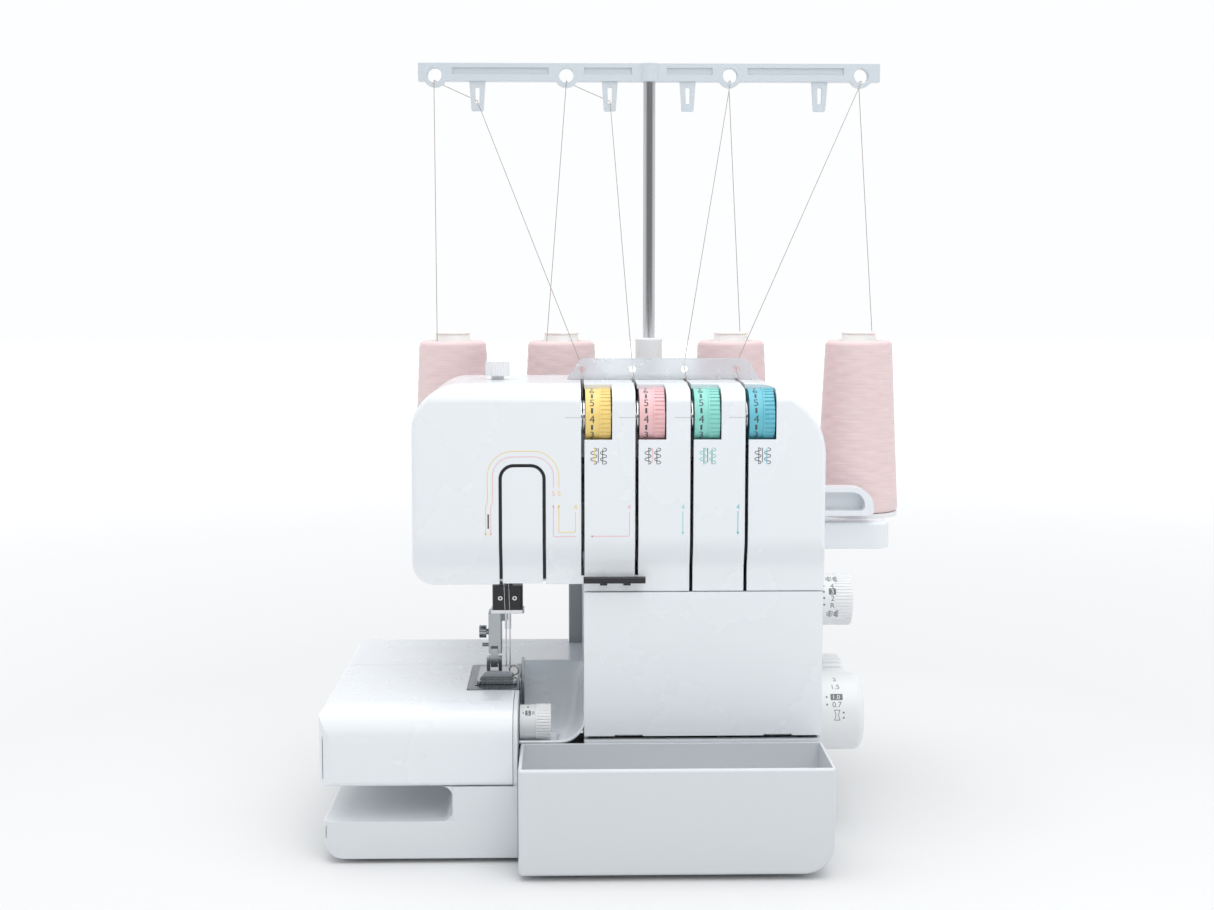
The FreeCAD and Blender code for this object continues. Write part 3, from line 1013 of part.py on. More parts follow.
def thread_bar():
    """The crossbar: grooved faces, four eyes, four slotted hook tabs and a central socket."""
    bar = block((POLE_X - BAR_HALF, POLE_X + BAR_HALF), BAR_Y, BAR_Z)
    parts, holes = [bar], []
    for offset in EYE_OFFSET:
        x = POLE_X + offset
        parts.append(rod(8.0, (x, BAR_Y[0], EYE_Z), (x, BAR_Y[1], EYE_Z)))
        holes.append(rod(EYE_R, (x, BAR_Y[0] - 1, EYE_Z), (x, BAR_Y[1] + 1, EYE_Z)))
    for offset in HOOK_OFFSET:
        x = POLE_X + offset
        tab = along_y([(x - 5.5, BAR_Z[0] + 1, 0), (x + 5.5, BAR_Z[0] + 1, 0), (x + 4, BAR_Z[0] - 20, 1),
                       (x - 4, BAR_Z[0] - 20, 1)],
                      (BAR_Y[0] + 1, BAR_Y[0] + 4.5))
        holes.append(along_y([(x - 1.6, BAR_Z[0] - 4, 1), (x + 1.6, BAR_Z[0] - 4, 1),
                              (x + 1.3, BAR_Z[0] - 15, 1), (x - 1.3, BAR_Z[0] - 15, 1)],
                             (BAR_Y[0] - 1, BAR_Y[1] + 1)))
        parts.append(tab)
    parts.append(rod(7.0, (POLE_X, CONE_Y, BAR_Z[0]), (POLE_X, CONE_Y, BAR_Z[1])))
    spans = sorted([-BAR_HALF + 3] + [offset for offset in EYE_OFFSET] + [0, BAR_HALF - 3])
    for left, right in zip(spans[1:-2], spans[2:-1]):
        x = (POLE_X + left + 12, POLE_X + right - 12)
        for y in ((BAR_Y[0] - 1, BAR_Y[0] + 1.2), (BAR_Y[1] - 1.2, BAR_Y[1] + 1)):
            holes.append(block(x, y, (BAR_Z[0] + 4.5, BAR_Z[1] - 3)))
    return cut_all(join(parts), holes)


# ---- threads -----------------------------------------------------------------------------
def thread_route(index):
    """The points that one thread passes, from the top of its cone to its tension discs."""
    slot_x = SLOT_X[index]
    eye_x = POLE_X + EYE_OFFSET[index]
    start_x = CONE_X[index] + (-9.7, -10.0, 8.0, 12.0)[index]
    front, back = BAR_Y[0] - 3.0, BAR_Y[1] + 3.0
    last = [(slot_x, GUIDE_Y + 6, GUIDE_HOLE_Z + 1.5), (slot_x, GUIDE_Y - 6, GUIDE_HOLE_Z - 0.5),
            (slot_x, DIAL_Y + 7, DIAL_Z + 11)]
    if index < 2:
        hook_x = POLE_X + HOOK_OFFSET[index]
        hook_z = BAR_Z[0] - 12.5
        return [(start_x, CONE_Y - 14, CONE_Z[1]), (eye_x, front, EYE_Z - 3.5), (eye_x, back, EYE_Z - 3.5),
                (hook_x, back - 2, hook_z), (hook_x, front, hook_z - 1)] + last
    return [(start_x, CONE_Y + 14, CONE_Z[1]), (eye_x, back, EYE_Z - 3), (eye_x, front, EYE_Z - 3.5)] + last


def thread(index):
    """A fine round thread: straight runs joined by small arcs where it bends."""
    points = [V(*p) for p in thread_route(index)]
    edges = []
    here = points[0]
    for i in range(1, len(points) - 1):
        back, on = (points[i - 1] - points[i]), (points[i + 1] - points[i])
        half = back.getAngle(on) / 2
        reach = min(2.5, 0.45 * min(back.Length, on.Length))
        radius = reach * math.tan(half)
        back, on = back.normalize(), on.normalize()
        enter, leave = points[i] + back * reach, points[i] + on * reach
        middle = points[i] + (back + on).normalize() * (radius / math.sin(half) - radius)
        edges.append(Part.LineSegment(here, enter).toShape())
        edges.append(Part.Arc(enter, middle, leave).toShape())
        here = leave
    edges.append(Part.LineSegment(here, points[-1]).toShape())
    path = Part.Wire(edges)
    ring = Part.Wire(Part.Circle(points[0], (points[1] - points[0]), THREAD_R).toShape())
    solid = path.makePipeShell([ring], True, False)
    print("thread", index + 1, "length", round(path.Length, 1), "volume ratio",
          round(solid.Volume / (math.pi * THREAD_R ** 2 * path.Length), 4))
    return solid


# ---- every part --------------------------------------------------------------------------
PARTS = {
    "base_cover": base_cover, "rubber_feet": rubber_feet, "free_arm_cover": free_arm_cover, "rear_bed": rear_bed,
    "throat_guard": throat_guard, "trim_chute": trim_chute, "trim_tray": trim_tray, "head_cover": head_cover,
    "take_up_panel": take_up_panel, "rear_cover": rear_cover, "side_cover": side_cover, "front_cover": front_cover,
    "cover_carrier": cover_carrier, "thread_guide_plate": thread_guide_plate, "lower_thread_guide": lower_thread_guide,
    "tension_posts": tension_posts, "tension_discs": tension_discs, "machine_frame": machine_frame,
    "shaft_bushes": shaft_bushes, "main_shaft": main_shaft, "handwheel": handwheel, "drive_belt": drive_belt,
    "motor_body": motor_body, "motor_pulley": motor_pulley, "needle_plate": needle_plate, "feed_dogs": feed_dogs,
    "lower_knife": lower_knife, "upper_knife": upper_knife, 
    "needle_bar": needle_bar, "needle_clamp": needle_clamp, "needles": needles, "presser_bar": presser_bar,
    "foot_ankle": foot_ankle, "presser_foot": presser_foot, "presser_spring": presser_spring,
    "pressure_knob": pressure_knob, "presser_lift_lever": presser_lift_lever, 
    "take_up_lever": take_up_lever, "stitch_width_dial": stitch_width_dial,
    "power_switch": power_switch, "power_inlet": power_inlet,
    "spool_stand": spool_stand, "spool_holders": spool_holders, "cone_tubes": cone_tubes,
    "thread_cones": thread_cones, "tree_holder": tree_holder, "tree_pole": tree_pole,
    "thread_bar": thread_bar,
}

for name, make in PARTS.items():
    save(name, make())
save("lower_looper", looper(LOWER_PIVOT, (-87.0, 78.0), LOWER_LOOPER_Y, (2.0, -6.0)))
save("upper_looper", looper(UPPER_PIVOT, (-64.0, 58.0), UPPER_LOOPER_Y, (3.0, 0.0)))
save("stitch_length_dial", side_dial(LENGTH_DIAL, True))
save("differential_dial", side_dial(FEED_DIAL, False))
for number, slot_x in enumerate(SLOT_X):
    save("tension_dial_%d" % (number + 1), tension_dial(slot_x))
    save("thread_%d" % (number + 1), thread(number))
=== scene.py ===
import math

import bmesh
import bpy
import numpy as np
from bpy.props import FloatProperty, FloatVectorProperty, IntProperty, PointerProperty
from bpy.types import Operator, Panel, PropertyGroup
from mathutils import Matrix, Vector


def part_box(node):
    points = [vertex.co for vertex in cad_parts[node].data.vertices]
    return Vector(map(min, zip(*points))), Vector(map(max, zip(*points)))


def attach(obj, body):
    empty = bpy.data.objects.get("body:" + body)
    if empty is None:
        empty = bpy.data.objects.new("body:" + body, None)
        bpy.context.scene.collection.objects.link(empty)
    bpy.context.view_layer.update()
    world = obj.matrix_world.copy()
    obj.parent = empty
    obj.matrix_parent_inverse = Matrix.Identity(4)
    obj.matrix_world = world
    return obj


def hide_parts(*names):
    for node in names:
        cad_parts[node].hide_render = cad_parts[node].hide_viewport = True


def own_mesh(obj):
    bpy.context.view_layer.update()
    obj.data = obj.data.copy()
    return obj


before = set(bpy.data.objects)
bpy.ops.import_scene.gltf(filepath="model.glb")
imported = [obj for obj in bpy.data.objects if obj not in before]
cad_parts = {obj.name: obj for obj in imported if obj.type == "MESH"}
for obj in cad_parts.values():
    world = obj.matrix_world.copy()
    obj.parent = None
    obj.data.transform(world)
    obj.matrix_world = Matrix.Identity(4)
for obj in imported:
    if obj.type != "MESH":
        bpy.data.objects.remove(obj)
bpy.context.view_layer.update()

bl_info = {
    "name": "Overlock Machine Finish",
    "version": (1, 0, 0),
    "blender": (4, 5, 0),
    "location": "3D View > Sidebar > Overlock",
    "description": "Surfaces, threads, dial marks and printed guides for a four-thread overlock machine",
    "category": "Object",
}

MM = 0.001


def corners_of(node):
    """The low and high corners of a node, in metres, as two arrays."""
    low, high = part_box(node)
    return np.array(low), np.array(high)


def middle_of(node):
    """The middle of a node's box."""
    low, high = corners_of(node)
    return (low + high) / 2


# ---- places taken from the frame -----------------------------------------------------------
FACE_Y = corners_of("head_cover")[0][1]
DIAL_NODES = ["tension_dial_1", "tension_dial_2", "tension_dial_3", "tension_dial_4"]
DIAL_COLOURS = ["yellow", "pink", "green", "blue"]


# ---- sizes and colours that a user would change ---------------------------------------------
def colour_setting(name, description, default):
    return FloatVectorProperty(name=name, description=description, default=default, subtype="COLOR", min=0.0,
                               max=1.0)


def length_setting(name, description, default):
    return FloatProperty(name=name, description=description, default=default, unit="LENGTH")


def turn_setting(name, description, default):
    return FloatProperty(name=name, description=description, default=math.radians(default), subtype="ANGLE")


def power_setting(name, description, default):
    return FloatProperty(name=name, description=description, default=default, unit="POWER")


def count_setting(name, description, default):
    return IntProperty(name=name, description=description, default=default)


class OVERLOCK_PG_stage(PropertyGroup):
    camera_place: FloatVectorProperty(name="Camera place", description="Where the camera stands",
                                      default=(-0.0395, -1.0853, 0.3424), subtype="TRANSLATION", unit="LENGTH")
    camera_yaw: turn_setting("Yaw", "Turn of the camera to the right", 1.234)
    camera_pitch: turn_setting("Pitch", "Tilt of the camera below the horizon", 5.776)
    lens: FloatProperty(name="Lens", description="Focal length on a 36 mm sensor", default=50.31, unit="CAMERA")
    sky: FloatProperty(name="Room light", description="Strength of the even light all round", default=0.84)
    top_power: power_setting("Top light", "Power of the large light overhead", 15.0)
    front_power: power_setting("Front light", "Power of the light above the front", 2.8)
    side_power: power_setting("Side light", "Power of the light at the front left", 0.3)
    floor_colour: colour_setting("Floor", "Colour of the floor", (0.76, 0.765, 0.77))


class OVERLOCK_PG_finish(PropertyGroup):
    shell: colour_setting("Shell", "Moulded covers", (0.82, 0.855, 0.89))
    thread: colour_setting("Wound thread", "Thread on the cones", (0.86, 0.68, 0.685))
    strand: colour_setting("Loose thread", "The four running threads", (0.36, 0.31, 0.285))
    yellow: colour_setting("Yellow", "First dial and its guide line", (0.87, 0.65, 0.215))
    pink: colour_setting("Pink", "Second dial and its guide line", (0.83, 0.51, 0.53))
    green: colour_setting("Green", "Third dial and its guide line", (0.26, 0.67, 0.60))
    blue: colour_setting("Blue", "Fourth dial and its guide line", (0.135, 0.51, 0.62))
    edge: length_setting("Edge softness", "Radius of the softened edges of moulded covers", 0.0006)


class OVERLOCK_PG_thread(PropertyGroup):
    around: count_setting("Around", "Grid steps round a winding", 160)
    up: count_setting("Up", "Grid steps up a winding", 236)
    relief: length_setting("Relief", "Height of the crossing threads on a winding", 0.00013)
    crossings: count_setting("Crossings", "Threads that cross on one turn of a winding", 7)
    radius: length_setting("Thread radius", "Half the thickness of a running thread", 0.00025)
    lay: length_setting("Lay", "Length of one twist of a running thread", 0.0032)


class OVERLOCK_PG_print(PropertyGroup):
    line: length_setting("Line width", "Width of a printed guide line", 0.00046)
    proud: length_setting("Ink height", "How far a printed mark stands proud", 0.00004)
    number: length_setting("Number height", "Height of a number on a tension dial", 0.0046)
    small: length_setting("Small number height", "Height of the numbers on the guide lines", 0.0031)
    step: turn_setting("Number step", "Turn between two numbers on a tension dial", 34.0)


def settings(group):
    return getattr(bpy.context.scene, "overlock_" + group)


# ---- mesh makers ----------------------------------------------------------------------------
def grid_faces(rows, columns, wrap_rows, wrap_columns):
    """Quads of a grid of points: each joins a point, its neighbour and the two above. Wrapping closes it."""
    index = np.arange(rows * columns).reshape(rows, columns)
    if wrap_rows:
        index = np.vstack([index, index[:1]])
    if wrap_columns:
        index = np.hstack([index, index[:, :1]])
    return np.stack([index[:-1, :-1], index[:-1, 1:], index[1:, 1:], index[1:, :-1]], axis=-1).reshape(-1, 4)


def enclosed_volume(points, faces):
    """Six times the volume inside quads: the sum of each half's corner triple product."""
    a, b, c, d = (points[faces[:, i]] for i in range(4))
    return np.sum(np.cross(a, b) * c) + np.sum(np.cross(a, c) * d)


def grid_coordinates(rows, columns, wrap_rows, wrap_columns):
    """Each quad corner's share along the grid, so that the last column ends at 1 and not back at 0."""
    across = columns if wrap_columns else columns - 1
    along = rows if wrap_rows else rows - 1
    v, u = np.meshgrid(np.arange(along), np.arange(across), indexing="ij")
    corner_u = np.stack([u, u + 1, u + 1, u], axis=-1) / across
    corner_v = np.stack([v, v, v + 1, v + 1], axis=-1) / along
    return np.stack([corner_u, corner_v], axis=-1).reshape(-1, 4, 2)


def add_piece(name, mesh, finish, body, stands_for=None, smooth=True):
    """Puts a mesh in the scene with its finish, on a body, in place of a node where it has one."""
    piece = bpy.data.objects.new(name, mesh)
    bpy.context.scene.collection.objects.link(piece)
    mesh.materials.append(bpy.data.materials[finish + "_finish"])
    mesh.polygons.foreach_set("use_smooth", np.full(len(mesh.polygons), smooth))
    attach(piece, body)
    if stands_for:
        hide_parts(stands_for)
    return piece


def plain_mesh(name, points, faces):
    mesh = bpy.data.meshes.new(name)
    mesh.from_pydata(points.tolist(), [], faces)
    return mesh


def surface_mesh(name, points, wrap_rows=False, wrap_columns=True):
    """A closed or open sheet through a grid of points (rows, columns, 3), with its faces turned outward."""
    rows, columns = points.shape[:2]
    flat = points.reshape(-1, 3)
    faces = grid_faces(rows, columns, wrap_rows, wrap_columns)
    coordinates = grid_coordinates(rows, columns, wrap_rows, wrap_columns)
    if enclosed_volume(flat, faces) < 0:
        faces, coordinates = faces[:, ::-1], coordinates[:, ::-1]
    mesh = plain_mesh(name, flat, faces.tolist())
    layer = mesh.uv_layers.new(name="surface")
    layer.data.foreach_set("uv", coordinates.reshape(-1))
    return mesh


def points_of(mesh):
    """A mesh's points as an array."""
    places = np.empty(len(mesh.vertices) * 3)
    mesh.vertices.foreach_get("co", places)
    return places.reshape(-1, 3)


def mesh_of(curve):
    """The mesh that a curve gives; the curve itself is removed."""
    holder = bpy.data.objects.new(curve.name, curve)
    mesh = bpy.data.meshes.new_from_object(holder)
    bpy.data.objects.remove(holder)
    bpy.data.curves.remove(curve)
    return mesh


def freed(shape):
    """A bmesh as points and faces; the bmesh itself is freed."""
    shape.verts.index_update()
    result = np.array([v.co[:] for v in shape.verts]), [[v.index for v in face.verts] for face in shape.faces]
    shape.free()
    return result


def round_axis(centre, radius, z, angle):
    """Rings about an upright axis: centre + (r cos a, r sin a) at height z."""
    x, y = centre[0] + radius * np.cos(angle), centre[1] + radius * np.sin(angle)
    return np.stack([x, y, z + 0 * angle], axis=-1)


def turned(name, profile, centre, around=72):
    """A ring turned about an upright axis: each point (r, z) of a closed profile goes round."""
    angle = np.linspace(0, 2 * np.pi, around, endpoint=False)
    return surface_mesh(name, round_axis(centre, profile[:, :1], profile[:, 1:], angle), wrap_rows=True)


def rounded_path(points, radius, steps=7):
    """A path with round corners: an arc (1 - t)^2 A + 2 t (1 - t) P + t^2 B replaces each corner P."""
    points = np.array(points, float)
    pieces = [points[:1]]
    t = np.linspace(0, 1, steps)[:, None]
    for before, corner, after in zip(points[:-2], points[1:-1], points[2:]):
        enter = corner + (before - corner) * min(0.5, radius / np.linalg.norm(before - corner))
        leave = corner + (after - corner) * min(0.5, radius / np.linalg.norm(after - corner))
        pieces.append((1 - t) ** 2 * enter + 2 * t * (1 - t) * corner + t ** 2 * leave)
    pieces.append(points[-1:])
    return np.vstack(pieces)


def along(points, spacing):
    """The same path with its points evenly spaced, by length along it."""
    steps = np.linalg.norm(np.diff(points, axis=0), axis=1)
    points = points[np.concatenate([[True], steps > 1e-9])]
    reach = np.concatenate([[0], np.cumsum(np.linalg.norm(np.diff(points, axis=0), axis=1))])
    places = np.linspace(0, reach[-1], max(2, int(round(reach[-1] / spacing)) + 1))
    return np.stack([np.interp(places, reach, points[:, i]) for i in range(points.shape[1])], axis=-1)


def stroke(path, width, height):
    """A flat ink line: each path point moves half the width along its normal to both sides, low and high."""
    path = np.array(path, float)
    run = np.gradient(path, axis=0)
    run /= np.linalg.norm(run, axis=1)[:, None]
    side = np.stack([-run[:, 1], run[:, 0]], axis=-1) * width / 2
    left, right = path + side, path - side
    low, high = -height, height
    corners = ((left, low), (left, high), (right, high), (right, low))
    points = np.stack([np.column_stack([p, np.full(len(p), h)]) for p, h in corners], axis=1)
    faces = grid_faces(len(path), 4, False, True)
    last = 4 * (len(path) - 1)
    caps = np.array([[0, 1, 2, 3], [last + 3, last + 2, last + 1, last]])
    faces = np.vstack([faces, caps])
    flat = points.reshape(-1, 3)
    if enclosed_volume(flat, faces) < 0:
        faces = faces[:, ::-1]
    return flat, faces.tolist()


def patch(outline, height):
    """A flat ink area inside an outline: the outline low and high, walls between and a face on each."""
    outline = np.array(outline, float)
    count = len(outline)
    twice_area = np.sum(outline[:, 0] * np.roll(outline[:, 1], -1) - np.roll(outline[:, 0], -1) * outline[:, 1])
    if twice_area < 0:
        outline = outline[::-1]
    low = np.column_stack([outline, np.full(count, -height)])
    high = np.column_stack([outline, np.full(count, height)])
    following = np.roll(np.arange(count), -1)
    own = np.arange(count)
    walls = np.stack([own, following, following + count, own + count], axis=-1).tolist()
    return np.vstack([low, high]), walls + [list(range(count))[::-1], list(range(count, 2 * count))]


def dot(centre, radius, height):
    """A round ink spot: 16 points at centre + radius (cos a, sin a)."""
    angle = np.linspace(0, 2 * np.pi, 16, endpoint=False)
    return patch(np.array(centre) + radius * np.stack([np.cos(angle), np.sin(angle)], axis=-1), height)


def arrow(tip, direction, size, height):
    """A small ink triangle with its tip at a point."""
    tip, direction = np.array(tip, float), np.array(direction, float)
    side = np.array([-direction[1], direction[0]])
    back = tip - direction * size
    return patch([tip, back + side * size * 0.42, back - side * size * 0.42], height)


def box_outline(centre, size, radius):
    """A rectangle's outline with round corners."""
    half = np.array(size) / 2
    corners = np.array([[-1, -1], [1, -1], [1, 1], [-1, 1]]) * half + np.array(centre)
    return rounded_path(np.vstack([corners[-1:], corners, corners[:1]]), radius, 5)[1:-1]


def banded(shape, step):
    """The same shape cut along level lines a step apart, so that it can bend round a drum."""
    points, faces = shape
    cut = bmesh.new()
    corners = [cut.verts.new(point) for point in points]
    for face in faces:
        cut.faces.new([corners[i] for i in face])
    for level in np.arange(points[:, 1].min() + step, points[:, 1].max(), step):
        everything = cut.verts[:] + cut.edges[:] + cut.faces[:]
        bmesh.ops.bisect_plane(cut, geom=everything, plane_co=(0, level, 0), plane_no=(0, 1, 0))
    return freed(cut)


def number(text, height, centre, thickness):
    """A number as a thin solid, scaled to its height."""
    curve = bpy.data.curves.new(text, "FONT")
    curve.body = text
    curve.extrude = 0.02
    curve.resolution_u = 4
    mesh = mesh_of(curve)
    shape = bmesh.new()
    shape.from_mesh(mesh)
    bmesh.ops.remove_doubles(shape, verts=shape.verts, dist=1e-5)
    points, faces = freed(shape)
    bpy.data.meshes.remove(mesh)
    low, high = points.min(axis=0), points.max(axis=0)
    scale = height / (high[1] - low[1])
    points[:, :2] = (points[:, :2] - (low[:2] + high[:2]) / 2) * scale + np.array(centre)
    points[:, 2] = np.sign(points[:, 2]) * thickness
    return points, faces


def merged(shapes):
    """Several (points, faces) shapes as one."""
    points, faces, offset = [], [], 0
    for some_points, some_faces in shapes:
        points.append(some_points)
        faces += [[i + offset for i in face] for face in some_faces]
        offset += len(some_points)
    return np.vstack(points), faces


def drum_marks(name, shapes, dial, radius, finish):
    """Ink shapes wrapped round a dial, whose axis is the middle of its box."""
    centre = middle_of(dial)
    shapes = [banded(shape, 0.5 * MM) for shape in shapes]
    printed(name, shapes, on_drum(centre[1], centre[2], radius), finish, dial)


def printed(name, shapes, place, finish, body):
    """Ink shapes, laid on a surface by place(), as one piece."""
    points, faces = merged(shapes)
    add_piece(name, plain_mesh(name, place(points), faces), finish, body, smooth=False)


def on_face(y):
    """Lays marks (u, v, height) on an upright face that looks forward: u is X, v is Z."""
    return lambda p: np.column_stack([p[:, 0], y - p[:, 2], p[:, 1]])


def on_drum(y, z, radius):
    """Wraps marks (u, v, height) round a drum along X: the angle above the front is v / radius."""
    def place(p):
        angle = p[:, 1] / radius
        reach = radius + p[:, 2]
        return np.column_stack([p[:, 0], y - reach * np.cos(angle), z + reach * np.sin(angle)])
    return place


def tube_along(name, path, radius, section, twist=0.0):
    """A closed tube along a path: ring k is path[k] + section(a) (cos a N + sin a B), turned by twist."""
    run = np.gradient(path, axis=0)
    run /= np.linalg.norm(run, axis=1)[:, None]
    steps = (-1.0, 0.0, 1.0)
    choices = np.array([(x, y, z) for x in steps for y in steps for z in steps if (x, y, z) > (0, 0, 0)])
    choices /= np.linalg.norm(choices, axis=1)[:, None]
    away = choices[np.argmin(np.abs(run @ choices.T).max(axis=0))]
    normal = np.cross(run, away)
    normal /= np.linalg.norm(normal, axis=1)[:, None]
    side = np.cross(run, normal)
    angle = np.linspace(0, 2 * np.pi, len(section), endpoint=False)
    reach = np.concatenate([[0], np.cumsum(np.linalg.norm(np.diff(path, axis=0), axis=1))])
    turned_angle = angle[None, :] + twist * reach[:, None]
    rings = path[:, None] + radius * section[None, :, None] * (
        np.cos(turned_angle)[..., None] * normal[:, None] + np.sin(turned_angle)[..., None] * side[:, None])
    ends = [np.repeat(path[:1, None], len(section), axis=1), np.repeat(path[-1:, None], len(section), axis=1)]
    mesh = surface_mesh(name, np.concatenate([ends[0], rings, ends[1]]))
    shape = bmesh.new()
    shape.from_mesh(mesh)
    bmesh.ops.remove_doubles(shape, verts=shape.verts, dist=1e-7)
    shape.to_mesh(mesh)
    shape.free()
    return mesh


# ---- shared effects --------------------------------------------------------------------------
def node(tree, kind, values=None, **choices):
    """Adds a node, sets its choices and its unlinked input values."""
    made = tree.nodes.new(kind)
    for key, value in choices.items():
        setattr(made, key, value)
    for key, value in (values or {}).items():
        made.inputs[key].default_value = value
    return made


def join(tree, *links):
    """Links each (source, output, target, input)."""
    for source, output, target, into in links:
        tree.links.new(source.outputs[output], target.inputs[into])


def effect(name, inputs, outputs):
    """An empty node group with its named sockets."""
    tree = bpy.data.node_groups.new(name, "ShaderNodeTree")
    for label, value in inputs.items():
        kind = "NodeSocketVector" if isinstance(value, tuple) else "NodeSocketFloat"
        tree.interface.new_socket(label, in_out="INPUT", socket_type=kind).default_value = value
    for label in outputs:
        kind = "NodeSocketVector" if label == "Normal" else "NodeSocketFloat"
        tree.interface.new_socket(label, in_out="OUTPUT", socket_type=kind)
    return tree, tree.nodes.new("NodeGroupInput"), tree.nodes.new("NodeGroupOutput")


def softened_edges():
    """Edges rounded to a radius, and a mask that is 1 where the rounded normal leaves the true one."""
    tree, given, result = effect("softened_edges", {"Radius": 0.0006}, ["Normal", "Edge"])
    rounded = node(tree, "ShaderNodeBevel", samples=6)
    true = node(tree, "ShaderNodeNewGeometry")
    match = node(tree, "ShaderNodeVectorMath", operation="DOT_PRODUCT")
    spread = node(tree, "ShaderNodeMapRange", {"From Min": 0.999, "From Max": 0.85})
    join(tree, (given, "Radius", rounded, "Radius"), (rounded, "Normal", result, "Normal"),
               (rounded, "Normal", match, 0), (true, "Normal", match, 1), (match, "Value", spread, "Value"),
               (spread, "Result", result, "Edge"))


def moulded_grain():
    """Fine moulding texture as a height, and a broad, faint change of shade."""
    tree, given, result = effect("moulded_grain", {"Scale": 900.0, "Spread": 14.0}, ["Height", "Shade"])
    where = node(tree, "ShaderNodeTexCoord")
    for socket, label, detail in (("Scale", "Height", 3.0), ("Spread", "Shade", 5.0)):
        noise = node(tree, "ShaderNodeTexNoise", {"Detail": detail, "Roughness": 0.55})
        join(tree, (where, "Object", noise, "Vector"), (given, socket, noise, "Scale"),
             (noise, "Fac", result, label))


def settled_dust():
    """A speckled mask, strongest where a surface looks up."""
    tree, given, result = effect("settled_dust", {"Scale": 220.0}, ["Mask"])
    where = node(tree, "ShaderNodeTexCoord")
    noise = node(tree, "ShaderNodeTexNoise", {"Detail": 6.0, "Roughness": 0.7})
    speck = node(tree, "ShaderNodeMapRange", {"From Min": 0.5, "From Max": 0.9})
    facing = node(tree, "ShaderNodeNewGeometry")
    split = node(tree, "ShaderNodeSeparateXYZ")
    upward = node(tree, "ShaderNodeMapRange", {"From Min": 0.2, "From Max": 1.0})
    both = node(tree, "ShaderNodeMath", operation="MULTIPLY")
    join(tree, (where, "Object", noise, "Vector"), (given, "Scale", noise, "Scale"),
               (noise, "Fac", speck, "Value"), (facing, "Normal", split, "Vector"),
               (split, "Z", upward, "Value"), (speck, "Result", both, 0), (upward, "Result", both, 1),
               (both, "Value", result, "Mask"))


def drawn_lines():
    """Fine lines left by drawing or brushing: noise stretched along one direction."""
    tree, given, result = effect("drawn_lines", {"Stretch": (1500.0, 1500.0, 30.0)}, ["Height", "Shade"])
    where = node(tree, "ShaderNodeTexCoord")
    stretched = node(tree, "ShaderNodeVectorMath", operation="MULTIPLY")
    join(tree, (where, "Object", stretched, 0), (given, "Stretch", stretched, 1))
    for label, detail in (("Height", 2.0), ("Shade", 5.0)):
        noise = node(tree, "ShaderNodeTexNoise", {"Scale": 1.0, "Detail": detail})
        join(tree, (stretched, "Vector", noise, "Vector"), (noise, "Fac", result, label))


def wound_thread():
    """Turns of thread on a cone: fine level lines with streaks round it, both along the piece's own UV map."""
    tree, given, result = effect("wound_thread", {"Lines": 210.0}, ["Height", "Shade"])
    where = node(tree, "ShaderNodeUVMap", uv_map="surface")
    split = node(tree, "ShaderNodeSeparateXYZ")
    turns = node(tree, "ShaderNodeMath", operation="MULTIPLY")
    wave = node(tree, "ShaderNodeMath", operation="SINE")
    stretched = node(tree, "ShaderNodeVectorMath", operation="MULTIPLY")
    stretched.inputs[1].default_value = (5.0, 320.0, 1.0)
    streak = node(tree, "ShaderNodeTexNoise", {"Scale": 1.0, "Detail": 4.0, "Roughness": 0.6})
    join(tree, (where, "UV", split, "Vector"), (split, "Y", turns, 0), (given, "Lines", turns, 1),
               (turns, "Value", wave, 0), (where, "UV", stretched, 0),
               (stretched, "Vector", streak, "Vector"), (wave, "Value", result, "Height"),
               (streak, "Fac", result, "Shade"))


EFFECTS = (softened_edges, moulded_grain, settled_dust, drawn_lines, wound_thread)


def place_effect(tree, name, **values):
    """A shared effect placed in a material with its own values."""
    made = tree.nodes.new("ShaderNodeGroup")
    made.node_tree = bpy.data.node_groups[name]
    for label, value in values.items():
        made.inputs[label].default_value = value
    return made


# ---- finishes --------------------------------------------------------------------------------
def blank_finish(name, **values):
    """A new material whose constant values sit on its shader."""
    material = bpy.data.materials.new(name + "_finish")
    material.use_nodes = True
    shader = material.node_tree.nodes["Principled BSDF"]
    for label, value in values.items():
        shader.inputs[label.replace("_", " ")].default_value = value
    return material.node_tree, shader


def tint(colour, factor):
    return tuple(min(1.0, c * factor) for c in colour[:3]) + (1.0,)


def mix_by(tree, source, output, low, high):
    """A colour that runs from low to high as a mask does."""
    mixed = node(tree, "ShaderNodeMix", data_type="RGBA")
    mixed.inputs["A"].default_value = low
    mixed.inputs["B"].default_value = high
    join(tree, (source, output, mixed, "Factor"))
    return mixed


def roughness_by(tree, shader, source, output, low, high):
    """Roughness that runs from low to high as a mask does from 0.3 to 0.7."""
    spread = node(tree, "ShaderNodeMapRange", {"From Min": 0.3, "From Max": 0.7, "To Min": low, "To Max": high})
    join(tree, (source, output, spread, "Value"), (spread, "Result", shader, "Roughness"))


def raised_by(tree, source, output, distance, over=None):
    """A bump of a height, over another node's normal where one is given."""
    bump = node(tree, "ShaderNodeBump", {"Strength": 1.0, "Distance": distance})
    join(tree, (source, output, bump, "Height"))
    if over:
        join(tree, (over, "Normal", bump, "Normal"))
    return bump


